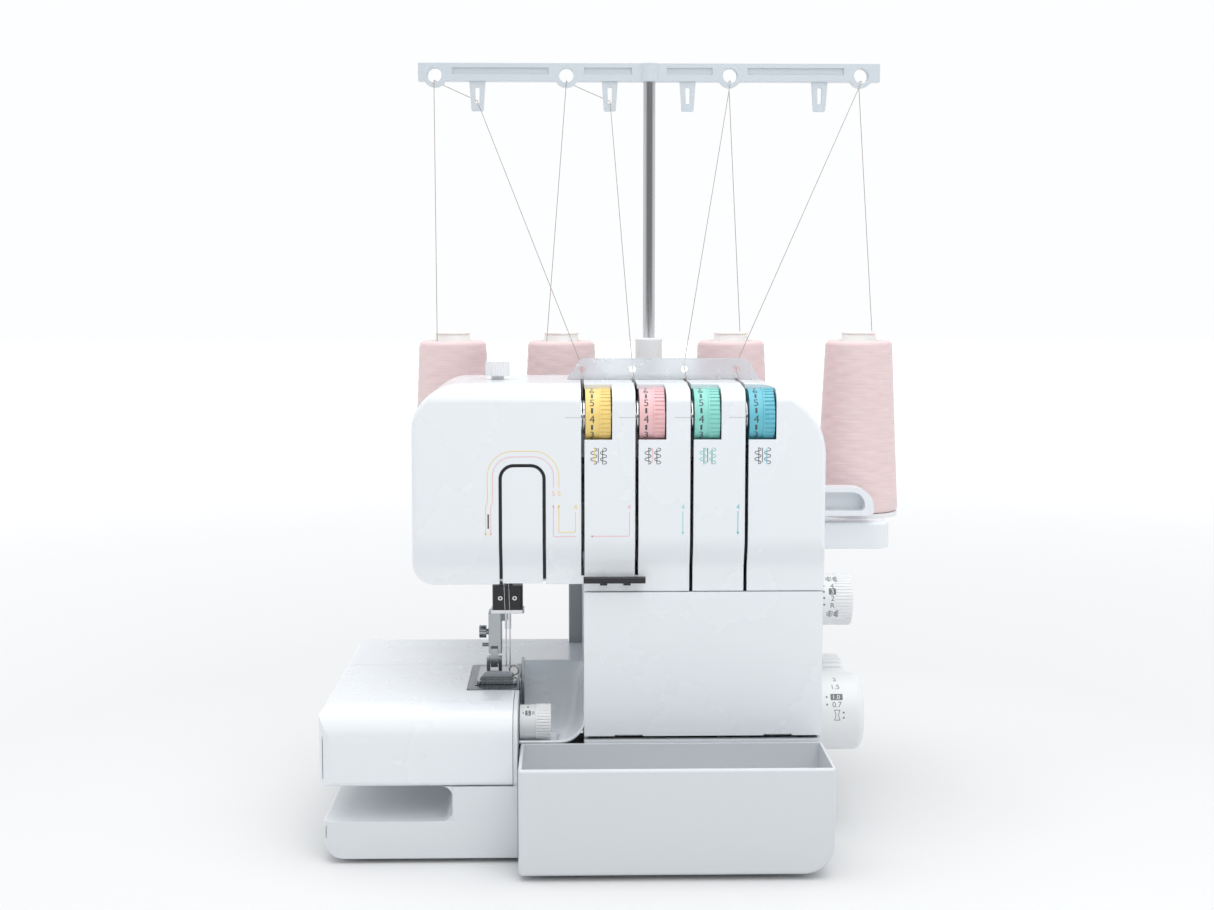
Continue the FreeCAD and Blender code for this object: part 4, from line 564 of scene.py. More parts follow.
def moulded(name, colour, roughness, edge=0.0006, grain=900.0, depth=4e-6, dust=0.02, coat=0.0, edge_wear_and_highlight=1.06):
    """Moulded plastic: grain, a faint change of shade, edges paler partly by wear and partly as a painted
    highlight, and a little dust on upward faces.
    """
    tree, shader = blank_finish(name, Coat_Weight=coat, Coat_Roughness=0.08)
    edges = place_effect(tree, "softened_edges", Radius=edge)
    texture = place_effect(tree, "moulded_grain", Scale=grain)
    settled = place_effect(tree, "settled_dust")
    shade = mix_by(tree, texture, "Shade", tint(colour, 0.99), tint(colour, 1.004))
    # Edges paler by the edge mask: partly wear, partly a painted highlight along each edge.
    edge_wear_and_highlight_mix = mix_by(tree, edges, "Edge", tint(colour, 1.0), tint(colour, edge_wear_and_highlight))
    faint = node(tree, "ShaderNodeMath", {1: dust}, operation="MULTIPLY")
    dusty = mix_by(tree, faint, "Value", tint(colour, 1.0), (0.74, 0.72, 0.69, 1.0))
    roughness_by(tree, shader, texture, "Shade", roughness - 0.006, roughness + 0.01)
    raised = raised_by(tree, texture, "Height", depth, over=edges)
    join(tree, (shade, "Result", edge_wear_and_highlight_mix, "A"), (settled, "Mask", faint, 0), (edge_wear_and_highlight_mix, "Result", dusty, "A"),
         (dusty, "Result", shader, "Base Color"), (raised, "Normal", shader, "Normal"))
    return shader


def metal(name, colour, roughness, stretch, edge=0.0003, depth=1.5e-6):
    """Bare or plated metal: drawn lines in its height and its roughness, edges brighter partly by wear and partly
    as a painted highlight.
    """
    tree, shader = blank_finish(name, Metallic=1.0)
    edges = place_effect(tree, "softened_edges", Radius=edge)
    lines = place_effect(tree, "drawn_lines", Stretch=stretch)
    shade = mix_by(tree, lines, "Shade", tint(colour, 0.9), tint(colour, 1.06))
    # Edges brighter by the edge mask: partly wear, partly a painted highlight along each edge.
    edge_wear_and_highlight_mix = mix_by(tree, edges, "Edge", tint(colour, 1.0), tint(colour, 1.25))
    roughness_by(tree, shader, lines, "Shade", roughness * 0.75, roughness * 1.35)
    raised = raised_by(tree, lines, "Height", depth, over=edges)
    join(tree, (shade, "Result", edge_wear_and_highlight_mix, "A"), (edge_wear_and_highlight_mix, "Result", shader, "Base Color"),
         (raised, "Normal", shader, "Normal"))


UPRIGHT, SIDEWAYS, FORWARD = (1500.0, 1500.0, 30.0), (30.0, 1500.0, 1500.0), (1500.0, 30.0, 1500.0)


def shell_finishes(choice):
    """The white covers: glossy on the machine, a duller copy on the stand, milky on the tubes; the base and the
    tray in darker copies, as painted shade for low faces that get less light.
    """
    moulded("white_shell", choice.shell, 0.27, edge=choice.edge, coat=0.35)
    # Darker copies of the shell white: painted shade on the low base and tray faces.
    moulded("base_white", tint(choice.shell, 0.9), 0.3, edge=choice.edge, coat=0.3)
    moulded("tray_white", tint(choice.shell, 0.84), 0.36, edge=choice.edge)
    moulded("stand_white", tint(choice.shell, 1.0), 0.36, edge=choice.edge)
    moulded("dial_white", (0.83, 0.84, 0.85), 0.38, edge=0.0003, dust=0.2)
    tube = moulded("tube_white", (0.84, 0.85, 0.83), 0.33, edge=0.0002)
    tube.inputs["Subsurface Weight"].default_value = 0.25
    tube.inputs["Subsurface Scale"].default_value = 0.002
    moulded("grey_plastic", (0.36, 0.385, 0.40), 0.42, grain=1600.0, depth=9e-6)
    moulded("bar_grey", (0.60, 0.655, 0.70), 0.34, edge=0.0003)


def dark_finishes():
    """Black plastics, the motor's painted case, the rubber feet and the belt, and a near-black that is painted
    shade in gaps, screw slots and sockets.
    """
    # Near-black painted shade, for the gap round the take-up panel and inside screw slots and sockets.
    moulded("slot_black", (0.012, 0.013, 0.018), 0.5, edge=0.0001, dust=0.0, edge_wear_and_highlight=1.0)
    # Edges seven times paler: a painted highlight line along the black guide and the clamp.
    moulded("black_metal", (0.012, 0.012, 0.016), 0.25, edge=0.0004, edge_wear_and_highlight=7.0, dust=0.02)
    moulded("black_plastic", (0.025, 0.025, 0.028), 0.4, edge=0.0004, edge_wear_and_highlight=2.2)
    moulded("motor_black", (0.03, 0.03, 0.033), 0.5, grain=500.0, depth=2e-5, edge_wear_and_highlight=2.5)
    moulded("rubber", (0.035, 0.035, 0.036), 0.75, grain=1100.0, depth=2.5e-5, edge_wear_and_highlight=1.6, dust=0.5)


def dial_finishes(choice):
    """Four coloured dials, in the colours of their guide lines."""
    for colour in DIAL_COLOURS:
        shade = getattr(choice, colour)
        moulded("dial_" + colour, shade, 0.34, edge=0.00022, grain=1300.0, dust=0.05, edge_wear_and_highlight=1.12)
        moulded("print_" + colour, shade, 0.5, edge=0.00002, dust=0.0, edge_wear_and_highlight=1.0)


def print_finishes():
    """Screen-printed inks."""
    inks = {"grey": (0.16, 0.175, 0.19), "dark": (0.06, 0.075, 0.085), "white": (0.85, 0.86, 0.87),
            "index": (0.52, 0.55, 0.57)}
    for name, ink in inks.items():
        moulded("print_" + name, ink, 0.5, edge=0.00002, dust=0.0, edge_wear_and_highlight=1.0)


def metal_finishes():
    """Plated, ground, cast and sintered metals."""
    metal("chrome", (0.66, 0.67, 0.69), 0.08, UPRIGHT, depth=4e-7)
    metal("steel", (0.40, 0.41, 0.43), 0.24, FORWARD)
    metal("plate_steel", (0.23, 0.25, 0.27), 0.28, FORWARD, depth=2e-6)
    metal("foot_steel", (0.40, 0.42, 0.44), 0.16, FORWARD, depth=8e-7)
    metal("cast_alloy", (0.50, 0.51, 0.52), 0.5, (700.0, 700.0, 700.0), edge=0.0008, depth=3e-5)
    metal("bronze", (0.52, 0.34, 0.16), 0.36, SIDEWAYS)


def thread_finishes(choice):
    """Wound and running polyester thread, with a soft sheen."""
    tree, shader = blank_finish("pink_thread", Sheen_Weight=0.35, Sheen_Roughness=0.4, Subsurface_Weight=0.15,
                                Subsurface_Scale=0.001)
    wound = place_effect(tree, "wound_thread", Lines=1300.0)
    streaks = node(tree, "ShaderNodeMapRange", {"From Min": 0.32, "From Max": 0.68})
    shade = mix_by(tree, streaks, "Result", tint(choice.thread, 0.9), tint(choice.thread, 1.07))
    roughness_by(tree, shader, wound, "Shade", 0.5, 0.68)
    turns = raised_by(tree, wound, "Height", 4e-5)
    raised = raised_by(tree, wound, "Shade", 2.2e-4, over=turns)
    join(tree, (wound, "Shade", streaks, "Value"), (shade, "Result", shader, "Base Color"),
         (raised, "Normal", shader, "Normal"))
    tree, shader = blank_finish("loose_thread", Sheen_Weight=0.2, Sheen_Roughness=0.4)
    fibre = place_effect(tree, "moulded_grain", Scale=2600.0, Spread=160.0)
    shade = mix_by(tree, fibre, "Shade", tint(choice.strand, 0.82), tint(choice.strand, 1.2))
    roughness_by(tree, shader, fibre, "Height", 0.5, 0.72)
    join(tree, (shade, "Result", shader, "Base Color"))


def clear_finish():
    """The milky, see-through thread guide."""
    tree, shader = blank_finish("clear_guide", Base_Color=(0.88, 0.92, 0.95, 1.0), Transmission_Weight=0.72,
                                IOR=1.49, Coat_Weight=0.2)
    texture = place_effect(tree, "moulded_grain", Scale=700.0, Spread=30.0)
    edges = place_effect(tree, "softened_edges", Radius=0.0003)
    roughness_by(tree, shader, texture, "Shade", 0.22, 0.34)
    join(tree, (raised_by(tree, texture, "Height", 6e-6, over=edges), "Normal", shader, "Normal"))


NODE_FINISHES = {
    "white_shell": ["free_arm_cover", "rear_bed", "trim_chute", "head_cover", "take_up_panel",
                    "rear_cover", "side_cover", "front_cover"],
    "base_white": ["base_cover"],
    "tray_white": ["trim_tray"],
    "stand_white": ["spool_stand"],
    "dial_white": ["handwheel", "pressure_knob", "stitch_width_dial", "stitch_length_dial", "differential_dial",
                   "spool_holders", "tree_holder"],
    "grey_plastic": ["throat_guard", "cover_carrier", "presser_lift_lever"],
    "bar_grey": ["thread_bar"],
    "clear_guide": ["thread_guide_plate"],
    "black_metal": ["lower_thread_guide", "needle_clamp"],
    "black_plastic": ["power_switch", "power_inlet"],
    "motor_black": ["motor_body"],
    "steel": ["tension_posts", "main_shaft", "feed_dogs", "lower_knife", "upper_knife", "take_up_lever",
              "lower_looper", "upper_looper"],
    "plate_steel": ["needle_plate"],
    "foot_steel": ["foot_ankle", "presser_foot"],
    "chrome": ["tension_discs", "needle_bar", "needles", "presser_bar", "tree_pole"],
    "cast_alloy": ["machine_frame", "motor_pulley"],
    "bronze": ["shaft_bushes"],
    "rubber": ["rubber_feet", "drive_belt"],
    "dial_yellow": ["tension_dial_1"],
    "dial_pink": ["tension_dial_2"],
    "dial_green": ["tension_dial_3"],
    "dial_blue": ["tension_dial_4"],
}


class OVERLOCK_OT_finishes(Operator):
    """Make every finish and give the machine's own parts theirs"""
    bl_idname = "overlock.finishes"
    bl_label = "Finishes"

    def execute(self, context):
        choice = settings("finish")
        for make_effect in EFFECTS:
            make_effect()
        shell_finishes(choice)
        dark_finishes()
        dial_finishes(choice)
        print_finishes()
        metal_finishes()
        thread_finishes(choice)
        clear_finish()
        for finish, nodes in NODE_FINISHES.items():
            for name in nodes:
                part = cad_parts[name]
                part.data.materials.clear()
                part.data.materials.append(bpy.data.materials[finish + "_finish"])
        return {"FINISHED"}


# ---- stage -----------------------------------------------------------------------------------
def area_light(name, place, aim, size, power):
    lamp = bpy.data.lights.new(name, "AREA")
    lamp.shape = "RECTANGLE"
    lamp.size, lamp.size_y = size
    lamp.energy = power
    holder = bpy.data.objects.new(name, lamp)
    holder.location = place
    holder.rotation_euler = (Vector(aim) - Vector(place)).to_track_quat("-Z", "Y").to_euler()
    bpy.context.scene.collection.objects.link(holder)


def studio_world(strength):
    """Even light all round, dark low down in front so that metal has something to mirror, on a white ground."""
    world = bpy.data.worlds.new("studio")
    world.use_nodes = True
    tree = world.node_tree
    where = node(tree, "ShaderNodeTexCoord")
    split = node(tree, "ShaderNodeSeparateXYZ")
    ahead = node(tree, "ShaderNodeMapRange", {"From Min": -0.15, "From Max": -0.7})
    low = node(tree, "ShaderNodeMapRange", {"From Min": 0.5, "From Max": 0.25})
    both = node(tree, "ShaderNodeMath", operation="MULTIPLY")
    light = node(tree, "ShaderNodeMapRange", {"To Min": strength, "To Max": strength * 0.3})
    ray = node(tree, "ShaderNodeLightPath")
    shown = node(tree, "ShaderNodeMix", {"B": 1.0}, data_type="FLOAT")
    join(tree, (where, "Generated", split, "Vector"), (split, "Y", ahead, "Value"),
               (split, "Z", low, "Value"), (ahead, "Result", both, 0), (low, "Result", both, 1),
               (both, "Value", light, "Value"), (light, "Result", shown, "A"),
               (ray, "Is Camera Ray", shown, "Factor"))
    join(tree, (shown, "Result", tree.nodes["Background"], "Strength"))
    tree.nodes["Background"].inputs["Color"].default_value = (0.985, 0.992, 1.0, 1.0)
    return world


class OVERLOCK_OT_stage(Operator):
    """Set up the pale floor, the soft lights and the camera"""
    bl_idname = "overlock.stage"
    bl_label = "Stage"

    def execute(self, context):
        choice = settings("stage")
        scene = context.scene
        tree, shader = blank_finish("floor", Base_Color=tuple(choice.floor_colour) + (1.0,), Roughness=0.8,
                                    Specular_IOR_Level=0.1)
        shader.inputs["Emission Strength"].default_value = 0.6
        where = node(tree, "ShaderNodeTexCoord")
        away = node(tree, "ShaderNodeVectorMath", operation="LENGTH")
        far = node(tree, "ShaderNodeMapRange", {"From Min": 0.5, "From Max": 3.0})
        join(tree, (where, "Object", away, 0), (away, "Value", far, "Value"))
        glow = mix_by(tree, far, "Result", (0.0, 0.0, 0.0, 1.0), (1.0, 1.0, 1.0, 1.0))
        join(tree, (glow, "Result", shader, "Emission Color"))
        reach = 9.0
        mesh = bpy.data.meshes.new("floor")
        mesh.from_pydata([(-reach, -reach, 0), (reach, -reach, 0), (reach, reach, 0), (-reach, reach, 0)], [],
                         [(0, 1, 2, 3)])
        mesh.materials.append(bpy.data.materials["floor_finish"])
        floor = bpy.data.objects.new("floor", mesh)
        scene.collection.objects.link(floor)
        scene.world = studio_world(choice.sky)
        middle = (-0.02, -0.05, 0.17)
        area_light("top", (-0.05, -0.1, 1.7), middle, (1.9, 1.4), choice.top_power)
        area_light("front", (0.3, -0.95, 0.95), middle, (0.9, 0.7), choice.front_power)
        area_light("side", (-1.4, -0.9, 0.8), middle, (0.8, 1.2), choice.side_power)
        camera = bpy.data.cameras.new("camera")
        camera.lens = choice.lens
        camera.sensor_width = 36.0
        holder = bpy.data.objects.new("camera", camera)
        holder.location = choice.camera_place
        holder.rotation_euler = (math.pi / 2 - choice.camera_pitch, 0.0, -choice.camera_yaw)
        scene.collection.objects.link(holder)
        scene.camera = holder
        scene.view_settings.view_transform = "Standard"
        return {"FINISHED"}


# ---- cones and tubes ---------------------------------------------------------------------------
def cone_centres():
    """The four cone axes: the middle of each cone's tube, found from the tubes' own points."""
    x = np.unique(np.round(points_of(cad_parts["cone_tubes"].data)[:, 0], 5))
    groups = np.split(x, np.where(np.diff(x) > 0.02)[0] + 1)
    return [((group.min() + group.max()) / 2, middle_of("cone_tubes")[1]) for group in groups]


def winding_points(centre, foot, top, choice):
    """Wound thread: at angle a and height share t the radius runs straight from foot to top, drops by a quarter
    circle over the last 3 mm at each end, and rises where threads cross, by
    relief (|sin(k a / 2 + 46 t)| + |sin(k a / 2 - 46 t)| - 1.2). The closed profile comes back down the bore."""
    (foot_radius, foot_z), (top_radius, top_z) = foot, top
    bore_foot, bore_top, shoulder = 18.9 * MM, 13.1 * MM, 3.0 * MM
    share = np.linspace(0, 1, choice.up)[:, None]
    z = foot_z + (top_z - foot_z) * share
    end = np.minimum(z - foot_z, top_z - z)
    drop = shoulder - np.sqrt(np.maximum(0, shoulder ** 2 - np.maximum(0, shoulder - end) ** 2))
    angle = np.linspace(0, 2 * np.pi, choice.around, endpoint=False)
    turns, climb = choice.crossings * angle / 2, 46.0 * share
    crossing = np.abs(np.sin(turns + climb)) + np.abs(np.sin(turns - climb))
    radius = foot_radius + (top_radius - foot_radius) * share - drop
    radius = radius + choice.relief * (crossing - 1.2) * np.minimum(1, end / (2 * shoulder))
    back = np.linspace(1, 0, 12)[:, None]
    bore = bore_foot + (bore_top - bore_foot) * back + 0 * angle
    heights = np.vstack([z, foot_z + (top_z - foot_z) * back])
    return round_axis(centre, np.vstack([radius, bore]), heights, angle)


class OVERLOCK_OT_windings(Operator):
    """Wind the thread on the four cones"""
    bl_idname = "overlock.windings"
    bl_label = "Cone windings"

    def execute(self, context):
        low, high = corners_of("thread_cones")
        foot, top = (28.3 * MM, low[2]), (22.9 * MM, high[2])
        for index, centre in enumerate(cone_centres()):
            points = winding_points(centre, foot, top, settings("thread"))
            mesh = surface_mesh("winding", points, wrap_rows=True)
            add_piece(f"winding_{index + 1}", mesh, "pink_thread", "root", "thread_cones")
        return {"FINISHED"}


class OVERLOCK_OT_tubes(Operator):
    """Turn the plastic tubes inside the cones, each with a rolled lip and a step under it"""
    bl_idname = "overlock.tubes"
    bl_label = "Cone tubes"

    def execute(self, context):
        low, high = corners_of("cone_tubes")
        foot, top, wall = low[2], high[2], 1.5 * MM
        foot_radius, step_radius, neck_radius = 18.4 * MM, 12.75 * MM, 11.5 * MM
        lip_centre, lip_radius = 11.2 * MM, 0.8 * MM
        roll = np.linspace(-0.5 * np.pi, 0.5 * np.pi, 9)
        lip = np.column_stack([lip_centre + lip_radius * np.cos(roll), top + lip_radius * (np.sin(roll) - 1)])
        outside = [(foot_radius, foot), (step_radius, top - 7 * MM), (12.0 * MM, top - 6.4 * MM),
                   (neck_radius, top - 2.0 * MM)]
        inside = [(lip_centre - wall * 0.6, top - 0.5 * MM), (neck_radius - wall, top - 2.5 * MM),
                  (foot_radius - wall, foot)]
        profile = np.vstack([outside, lip, inside])
        for index, centre in enumerate(cone_centres()):
            mesh = turned("tube", profile, centre)
            add_piece(f"cone_tube_{index + 1}", mesh, "tube_white", "root", "cone_tubes")
        return {"FINISHED"}


# ---- threads -------------------------------------------------------------------------------------
# Each thread leaves its cone, goes through its eye (the first two also round a hook), passes the guide plate
# and ends between its tension discs. A point 3 mm from an eye, hook or guide keeps the pulled runs straight.
THREAD_ROUTES = [
    [(-130.3, 76.0, 303.0), (-131.3, 82.9, 476.4), (-131.3, 83.0, 479.5), (-131.3, 97.0, 479.5),
     (-102.3, 95.0, 466.5), (-102.3, 83.0, 465.5), (-101.3, 81.7, 462.9), (-33.3, -7.7, 292.7),
     (-32.3, -9.0, 290.0), (-32.3, -21.0, 288.0), (-32.3, -61.5, 273.5)],
    [(-55.7, 76.0, 303.0), (-41.9, 82.9, 476.4), (-41.9, 83.0, 479.5), (-41.9, 97.0, 479.5),
     (-12.3, 95.0, 466.5), (-12.3, 83.0, 465.5), (-12.1, 81.7, 462.8), (-0.4, -7.7, 292.6),
     (-0.2, -9.0, 290.0), (-0.2, -21.0, 288.0), (-0.2, -61.5, 273.5)],
    [(79.6, 104.0, 303.0), (69.7, 97.1, 477.0), (69.5, 97.0, 480.0), (69.5, 83.0, 479.5),
     (69.1, 81.7, 476.8), (32.9, -7.7, 292.6), (32.5, -9.0, 290.0), (32.5, -21.0, 288.0),
     (32.5, -61.5, 273.5)],
    [(172.5, 104.0, 303.0), (159.2, 97.1, 477.0), (159.0, 97.0, 480.0), (159.0, 83.0, 479.5),
     (157.7, 81.7, 476.9), (66.4, -7.7, 292.6), (65.1, -9.0, 290.0), (65.1, -21.0, 288.0),
     (65.1, -61.5, 273.5)],
]


def smooth_route(points):
    """The points of the smooth line that a route's control points give."""
    curve = bpy.data.curves.new("route", "CURVE")
    curve.dimensions = "3D"
    spline = curve.splines.new("NURBS")
    spline.points.add(len(points) - 1)
    spline.points.foreach_set("co", [value for point in points for value in (*(np.array(point) * MM), 1.0)])
    spline.order_u = 3
    spline.use_endpoint_u = True
    spline.resolution_u = 24
    mesh = mesh_of(curve)
    line = points_of(mesh)
    bpy.data.meshes.remove(mesh)
    return line


def thread_mesh(line, radius):
    """A thread of twisted plies: at angle a its section is 0.84 + 0.16 |cos(3 a / 2)| of the radius."""
    angle = np.linspace(0, 2 * np.pi, 12, endpoint=False)
    section = 0.84 + 0.16 * np.abs(np.cos(3 * angle / 2))
    return tube_along("thread", line, radius, section, 2 * np.pi / settings("thread").lay)


class OVERLOCK_OT_threads(Operator):
    """Run the four threads from the cones to the tension discs"""
    bl_idname = "overlock.threads"
    bl_label = "Running threads"

    def execute(self, context):
        radius = settings("thread").radius
        for index, route in enumerate(THREAD_ROUTES):
            line = along(smooth_route(route), 0.5 * MM)
            piece = add_piece(f"running_thread_{index + 1}", thread_mesh(line, radius), "loose_thread", "root",
                              f"thread_{index + 1}")
            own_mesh(piece)
        return {"FINISHED"}


class OVERLOCK_OT_needle_threads(Operator):
    """Lead two threads over the needle clamp, down the needles and into their eyes"""
    bl_idname = "overlock.needle_threads"
    bl_label = "Needle threads"

    def execute(self, context):
        clamp_low, clamp_high = corners_of("needle_clamp")
        low, high = corners_of("needles")
        front = clamp_low[1] - 0.4 * MM
        needle_y = (low[1] + high[1]) / 2
        for name, side, needle_x in (("left", -1, low[0] + 0.8 * MM), ("right", 1, high[0] - 0.8 * MM)):
            x = needle_x + side * 0.25 * MM
            path = rounded_path([(x - 1.2 * MM, needle_y - 9 * MM, clamp_high[2] + 36 * MM),
                                 (x - 0.6 * MM, front, clamp_high[2]), (x, front, clamp_low[2] + 1 * MM),
                                 (x, needle_y - 0.9 * MM, clamp_low[2] - 10 * MM),
                                 (needle_x, needle_y - 0.75 * MM, low[2] + 4.5 * MM),
                                 (needle_x, needle_y - 0.1 * MM, low[2] + 3.6 * MM)], 1.5 * MM)
            mesh = thread_mesh(along(path, 0.4 * MM), 0.2 * MM)
            add_piece("needle_thread_" + name, mesh, "print_white", "needle_bar")
        return {"FINISHED"}


# ---- marks on the dials ----------------------------------------------------------------------------
class OVERLOCK_OT_tension_marks(Operator):
    """Number the four tension dials from 0 to 9, with a bar between two numbers"""
    bl_idname = "overlock.tension_marks"
    bl_label = "Tension dial marks"

    def execute(self, context):
        choice = settings("print")
        front_number, rim = 4, 0.5 * MM
        for name in DIAL_NODES:
            low, high = corners_of(name)
            radius = (high[2] - low[2]) / 2 - rim
            x = low[0] + 3.9 * MM
            shapes = []
            for value in range(10):
                arc = (value - front_number) * choice.step * radius
                shapes.append(number(str(value), choice.number, (x, arc), choice.proud))
                if value < 9:
                    level = arc + choice.step * radius / 2
                    bar = np.column_stack([np.full(6, x), level + np.linspace(-1.6, 1.6, 6) * MM])
                    shapes.append(stroke(bar, 1.25 * MM, choice.proud))
            drum_marks(name + "_numbers", shapes, name, radius, "print_dark")
        return {"FINISHED"}


def serpentine(x, z, turns, steps=40):
    """A wavy line up an icon: x swings between its two limits as a rounded square wave while z rises."""
    t = np.linspace(0, 1, steps)
    swing = np.tanh(2.4 * np.sin(2 * np.pi * turns * t)) / math.tanh(2.4)
    return np.column_stack([(x[0] + x[1]) / 2 + swing * (x[1] - x[0]) / 2, z[0] + (z[1] - z[0]) * t])


def stitch_icon(centre, size):
    """The strokes of a four-thread stitch: two looper lines, two needle lines and the rung between them."""
    (x, z), (width, height) = centre, size
    left, right, low, high = x - width / 2, x + width / 2, z - height / 2, z + height / 2

    def upright(shift, foot, top):
        level = x + shift * width
        return along(np.array([(level, low + foot * height), (level, high - top * height)]), height / 6)

    return {
        "left_looper": serpentine((left, x - 0.12 * width), (low, high), 2.5),
        "right_looper": serpentine((x + 0.12 * width, right), (low, high), 2.5),
        "left_needle": upright(-0.26, 0.06, 0),
        "right_needle": upright(0.26, 0, 0.06),
        "rung": upright(-0.02, 0.1, 0),
    }


class OVERLOCK_OT_setting_marks(Operator):
    """Mark the stitch length, differential feed and stitch width dials"""
    bl_idname = "overlock.setting_marks"
    bl_label = "Setting dial marks"

    def execute(self, context):
        proud = settings("print").proud
        line = 0.4 * MM

        def figures(x, height, *rows):
            return [number(text, height * MM, (x, arc * MM), proud) for text, arc in rows]

        def dots(x, radius, *arcs):
            return [dot((x, arc * MM), radius * MM, proud) for arc in arcs]

        def plate(x, arc, size, corner):
            return patch(box_outline((x, arc * MM), np.array(size) * MM, corner * MM), proud)

        def mark_dial(name, dial, radius, dark, value, height, centre):
            drum_marks(name + "_marks", dark, dial, radius, "print_grey")
            white = [number(value, height * MM, (centre[0], centre[1] * MM), proud * 2)]
            drum_marks(name + "_value", white, dial, radius, "print_white")

        x = corners_of("stitch_length_dial")[1][0] - 13.4 * MM
        dark = figures(x, 3.4, ("4", 11.6), ("2", 3.5), ("R", -1.2)) + [plate(x, 7.8, (4.6, 4.2), 0.7)]
        dark += dots(x - 5.4 * MM, 0.62, 11.6, 7.6, 3.6, -0.6)
        for arc in (-7.0, 17.4):
            icon = stitch_icon((x, arc * MM), (7.2 * MM, 4.4 * MM))
            dark += [stroke(path, 0.36 * MM, proud) for path in icon.values()]
        mark_dial("length_dial", "stitch_length_dial", 16.6 * MM, dark, "3", 3.0, (x, 7.8))

        x = corners_of("differential_dial")[1][0] - 17.6 * MM
        dark = [plate(x, 14.4, (7.6, 4.1), 0.6), *figures(x, 3.4, ("0.7", 9.6))]
        dark += dots(x - 6.2 * MM, 0.62, 14.4, 9.6) + dots(x + 4.0 * MM, 0.62, 4.6, 1.4)
        waist = np.linspace(-1, 1, 9)
        for side in (-1, 1):
            edge = np.column_stack([x + side * (0.9 + 0.9 * waist ** 2) * MM, (3.0 + 3.1 * waist) * MM])
            dark.append(stroke(edge, line, proud))
        for arc in (-0.1, 6.1):
            dark.append(stroke([(x - 1.9 * MM, arc * MM), (x + 1.9 * MM, arc * MM)], line, proud))
        dark += figures(x, 3.4, ("1.5", 21.5), ("2", 28.0))
        mark_dial("differential_dial", "differential_dial", 24.5 * MM, dark, "1.0", 2.9, (x, 14.4))

        x = corners_of("stitch_width_dial")[1][0] - 13.9 * MM
        chosen, spacing = 8.2, 5.2
        dark = [plate(x, chosen, (3.5, 3.4), 0.6), *figures(x + 3.4 * MM, 2.3, ("R", chosen)),
                *dots(x - 2.9 * MM, 0.45, chosen)]
        dark += figures(x, 2.3, *((str(step + 5), chosen + step * spacing) for step in range(1, 7)))
        mark_dial("width_dial", "stitch_width_dial", 10.5 * MM, dark, "5", 2.6, (x, chosen))
        return {"FINISHED"}


# ---- marks on the head --------------------------------------------------------------------------------
def arch(left, right, top, bend):
    """A guide line's path over the take-up panel: up one side, round two wide corners and down the other."""
    path = [(left - 1.2, 194.5), (left - 1.2, 210.5), (left, 213.5)]
    for middle, start, end in ((left + bend, np.pi, 0.5 * np.pi), (right - bend, 0.5 * np.pi, 0)):
        for angle in np.linspace(start, end, 12):
            path.append((middle + bend * np.cos(angle), top - bend + bend * np.sin(angle)))
    return np.array(path + [(right, 222.0)]) * MM


class OVERLOCK_OT_guide_lines(Operator):
    """Print the coloured thread guide lines, their step numbers and the dial index lines on the head's face"""
    bl_idname = "overlock.guide_lines"
    bl_label = "Guide lines"

    def execute(self, context):
        choice = settings("print")
        line, proud = choice.line, choice.proud
        face = on_face(FACE_Y)
        up, down, back = (0, 1), (0, -1), (-1, 0)

        def over(*sizes):
            return stroke(arch(*sizes), line, proud)

        def run(*points):
            return stroke(rounded_path(np.array(points) * MM, 1.0 * MM), line, proud)

        def head(direction, *tip):
            return arrow(np.array(tip) * MM, direction, 1.9 * MM, proud)

        def figure(text, *centre):
            return number(text, choice.small, np.array(centre) * MM, proud)

        lines = {
            "yellow": [over(-88.9, -46.5, 243.6, 15.0), head(down, -90.1, 192.8), figure("5", -46.4, 218.4),
                       head(up, -46.6, 212.0),
                       run((-46.6, 210.5), (-46.6, 195.2), (-36.6, 195.2), (-36.6, 207.0)),
                       figure("4", -36.8, 210.2)],
            "pink": [over(-85.8, -49.7, 240.3, 11.8), head(down, -87.0, 192.8), figure("5", -49.7, 218.4),
                     head(up, -49.8, 212.0), run((-49.8, 210.5), (-49.8, 192.6), (-36.2, 192.6)),
                     head(back, -28.2, 192.7), run((-26.8, 192.7), (-4.6, 192.7), (-4.6, 207.0)),
                     figure("4", -4.8, 210.2)],
        }
        for colour, x in (("green", 27.2), ("blue", 60.0)):
            lines[colour] = [figure("4", x, 210.2), run((x, 207.6), (x, 195.0)), head(down, x, 193.2)]
        for colour, shapes in lines.items():
            printed("guide_line_" + colour, shapes, face, "print_" + colour, "root")
        mark = stroke([(-88.5 * MM, 206.0 * MM), (-88.5 * MM, 197.4 * MM)], 0.9 * MM, proud)
        printed("guide_mark", [mark], face, "print_dark", "root")
        index_z, index_lines = 263.5 * MM, []
        for name in DIAL_NODES:
            window = corners_of(name)[0][0] - 2.6 * MM
            ends = [(window - 9.6 * MM, index_z), (window - 0.1 * MM, index_z)]
            index_lines.append(stroke(ends, 0.4 * MM, proud))
        printed("index_lines", index_lines, face, "print_index", "root")
        return {"FINISHED"}


class OVERLOCK_OT_stitch_icons(Operator):
    """Print a small stitch picture under each tension dial, with that dial's thread in colour"""
    bl_idname = "overlock.stitch_icons"
    bl_label = "Stitch pictures"

    def execute(self, context):
        proud = settings("print").proud
        face = on_face(FACE_Y)
        threads = (("left_needle",), ("rung",), ("left_looper", "right_looper"), ("right_needle",))
        for index, (name, colour, own) in enumerate(zip(DIAL_NODES, DIAL_COLOURS, threads), 1):
            centre = (middle_of(name)[0] + 0.3 * MM, corners_of(name)[0][2] - 4.4 * MM)
            icon = stitch_icon(centre, (9.2 * MM, 9.6 * MM))
            grey = [stroke(path, 0.5 * MM, proud) for part, path in icon.items() if part not in own]
            bright = [stroke(icon[part], 0.55 * MM, proud * 1.5) for part in own]
            printed(f"stitch_picture_{index}", grey, face, "print_grey", "root")
            printed(f"stitch_thread_{index}", bright, face, "print_" + colour, "root")
        return {"FINISHED"}


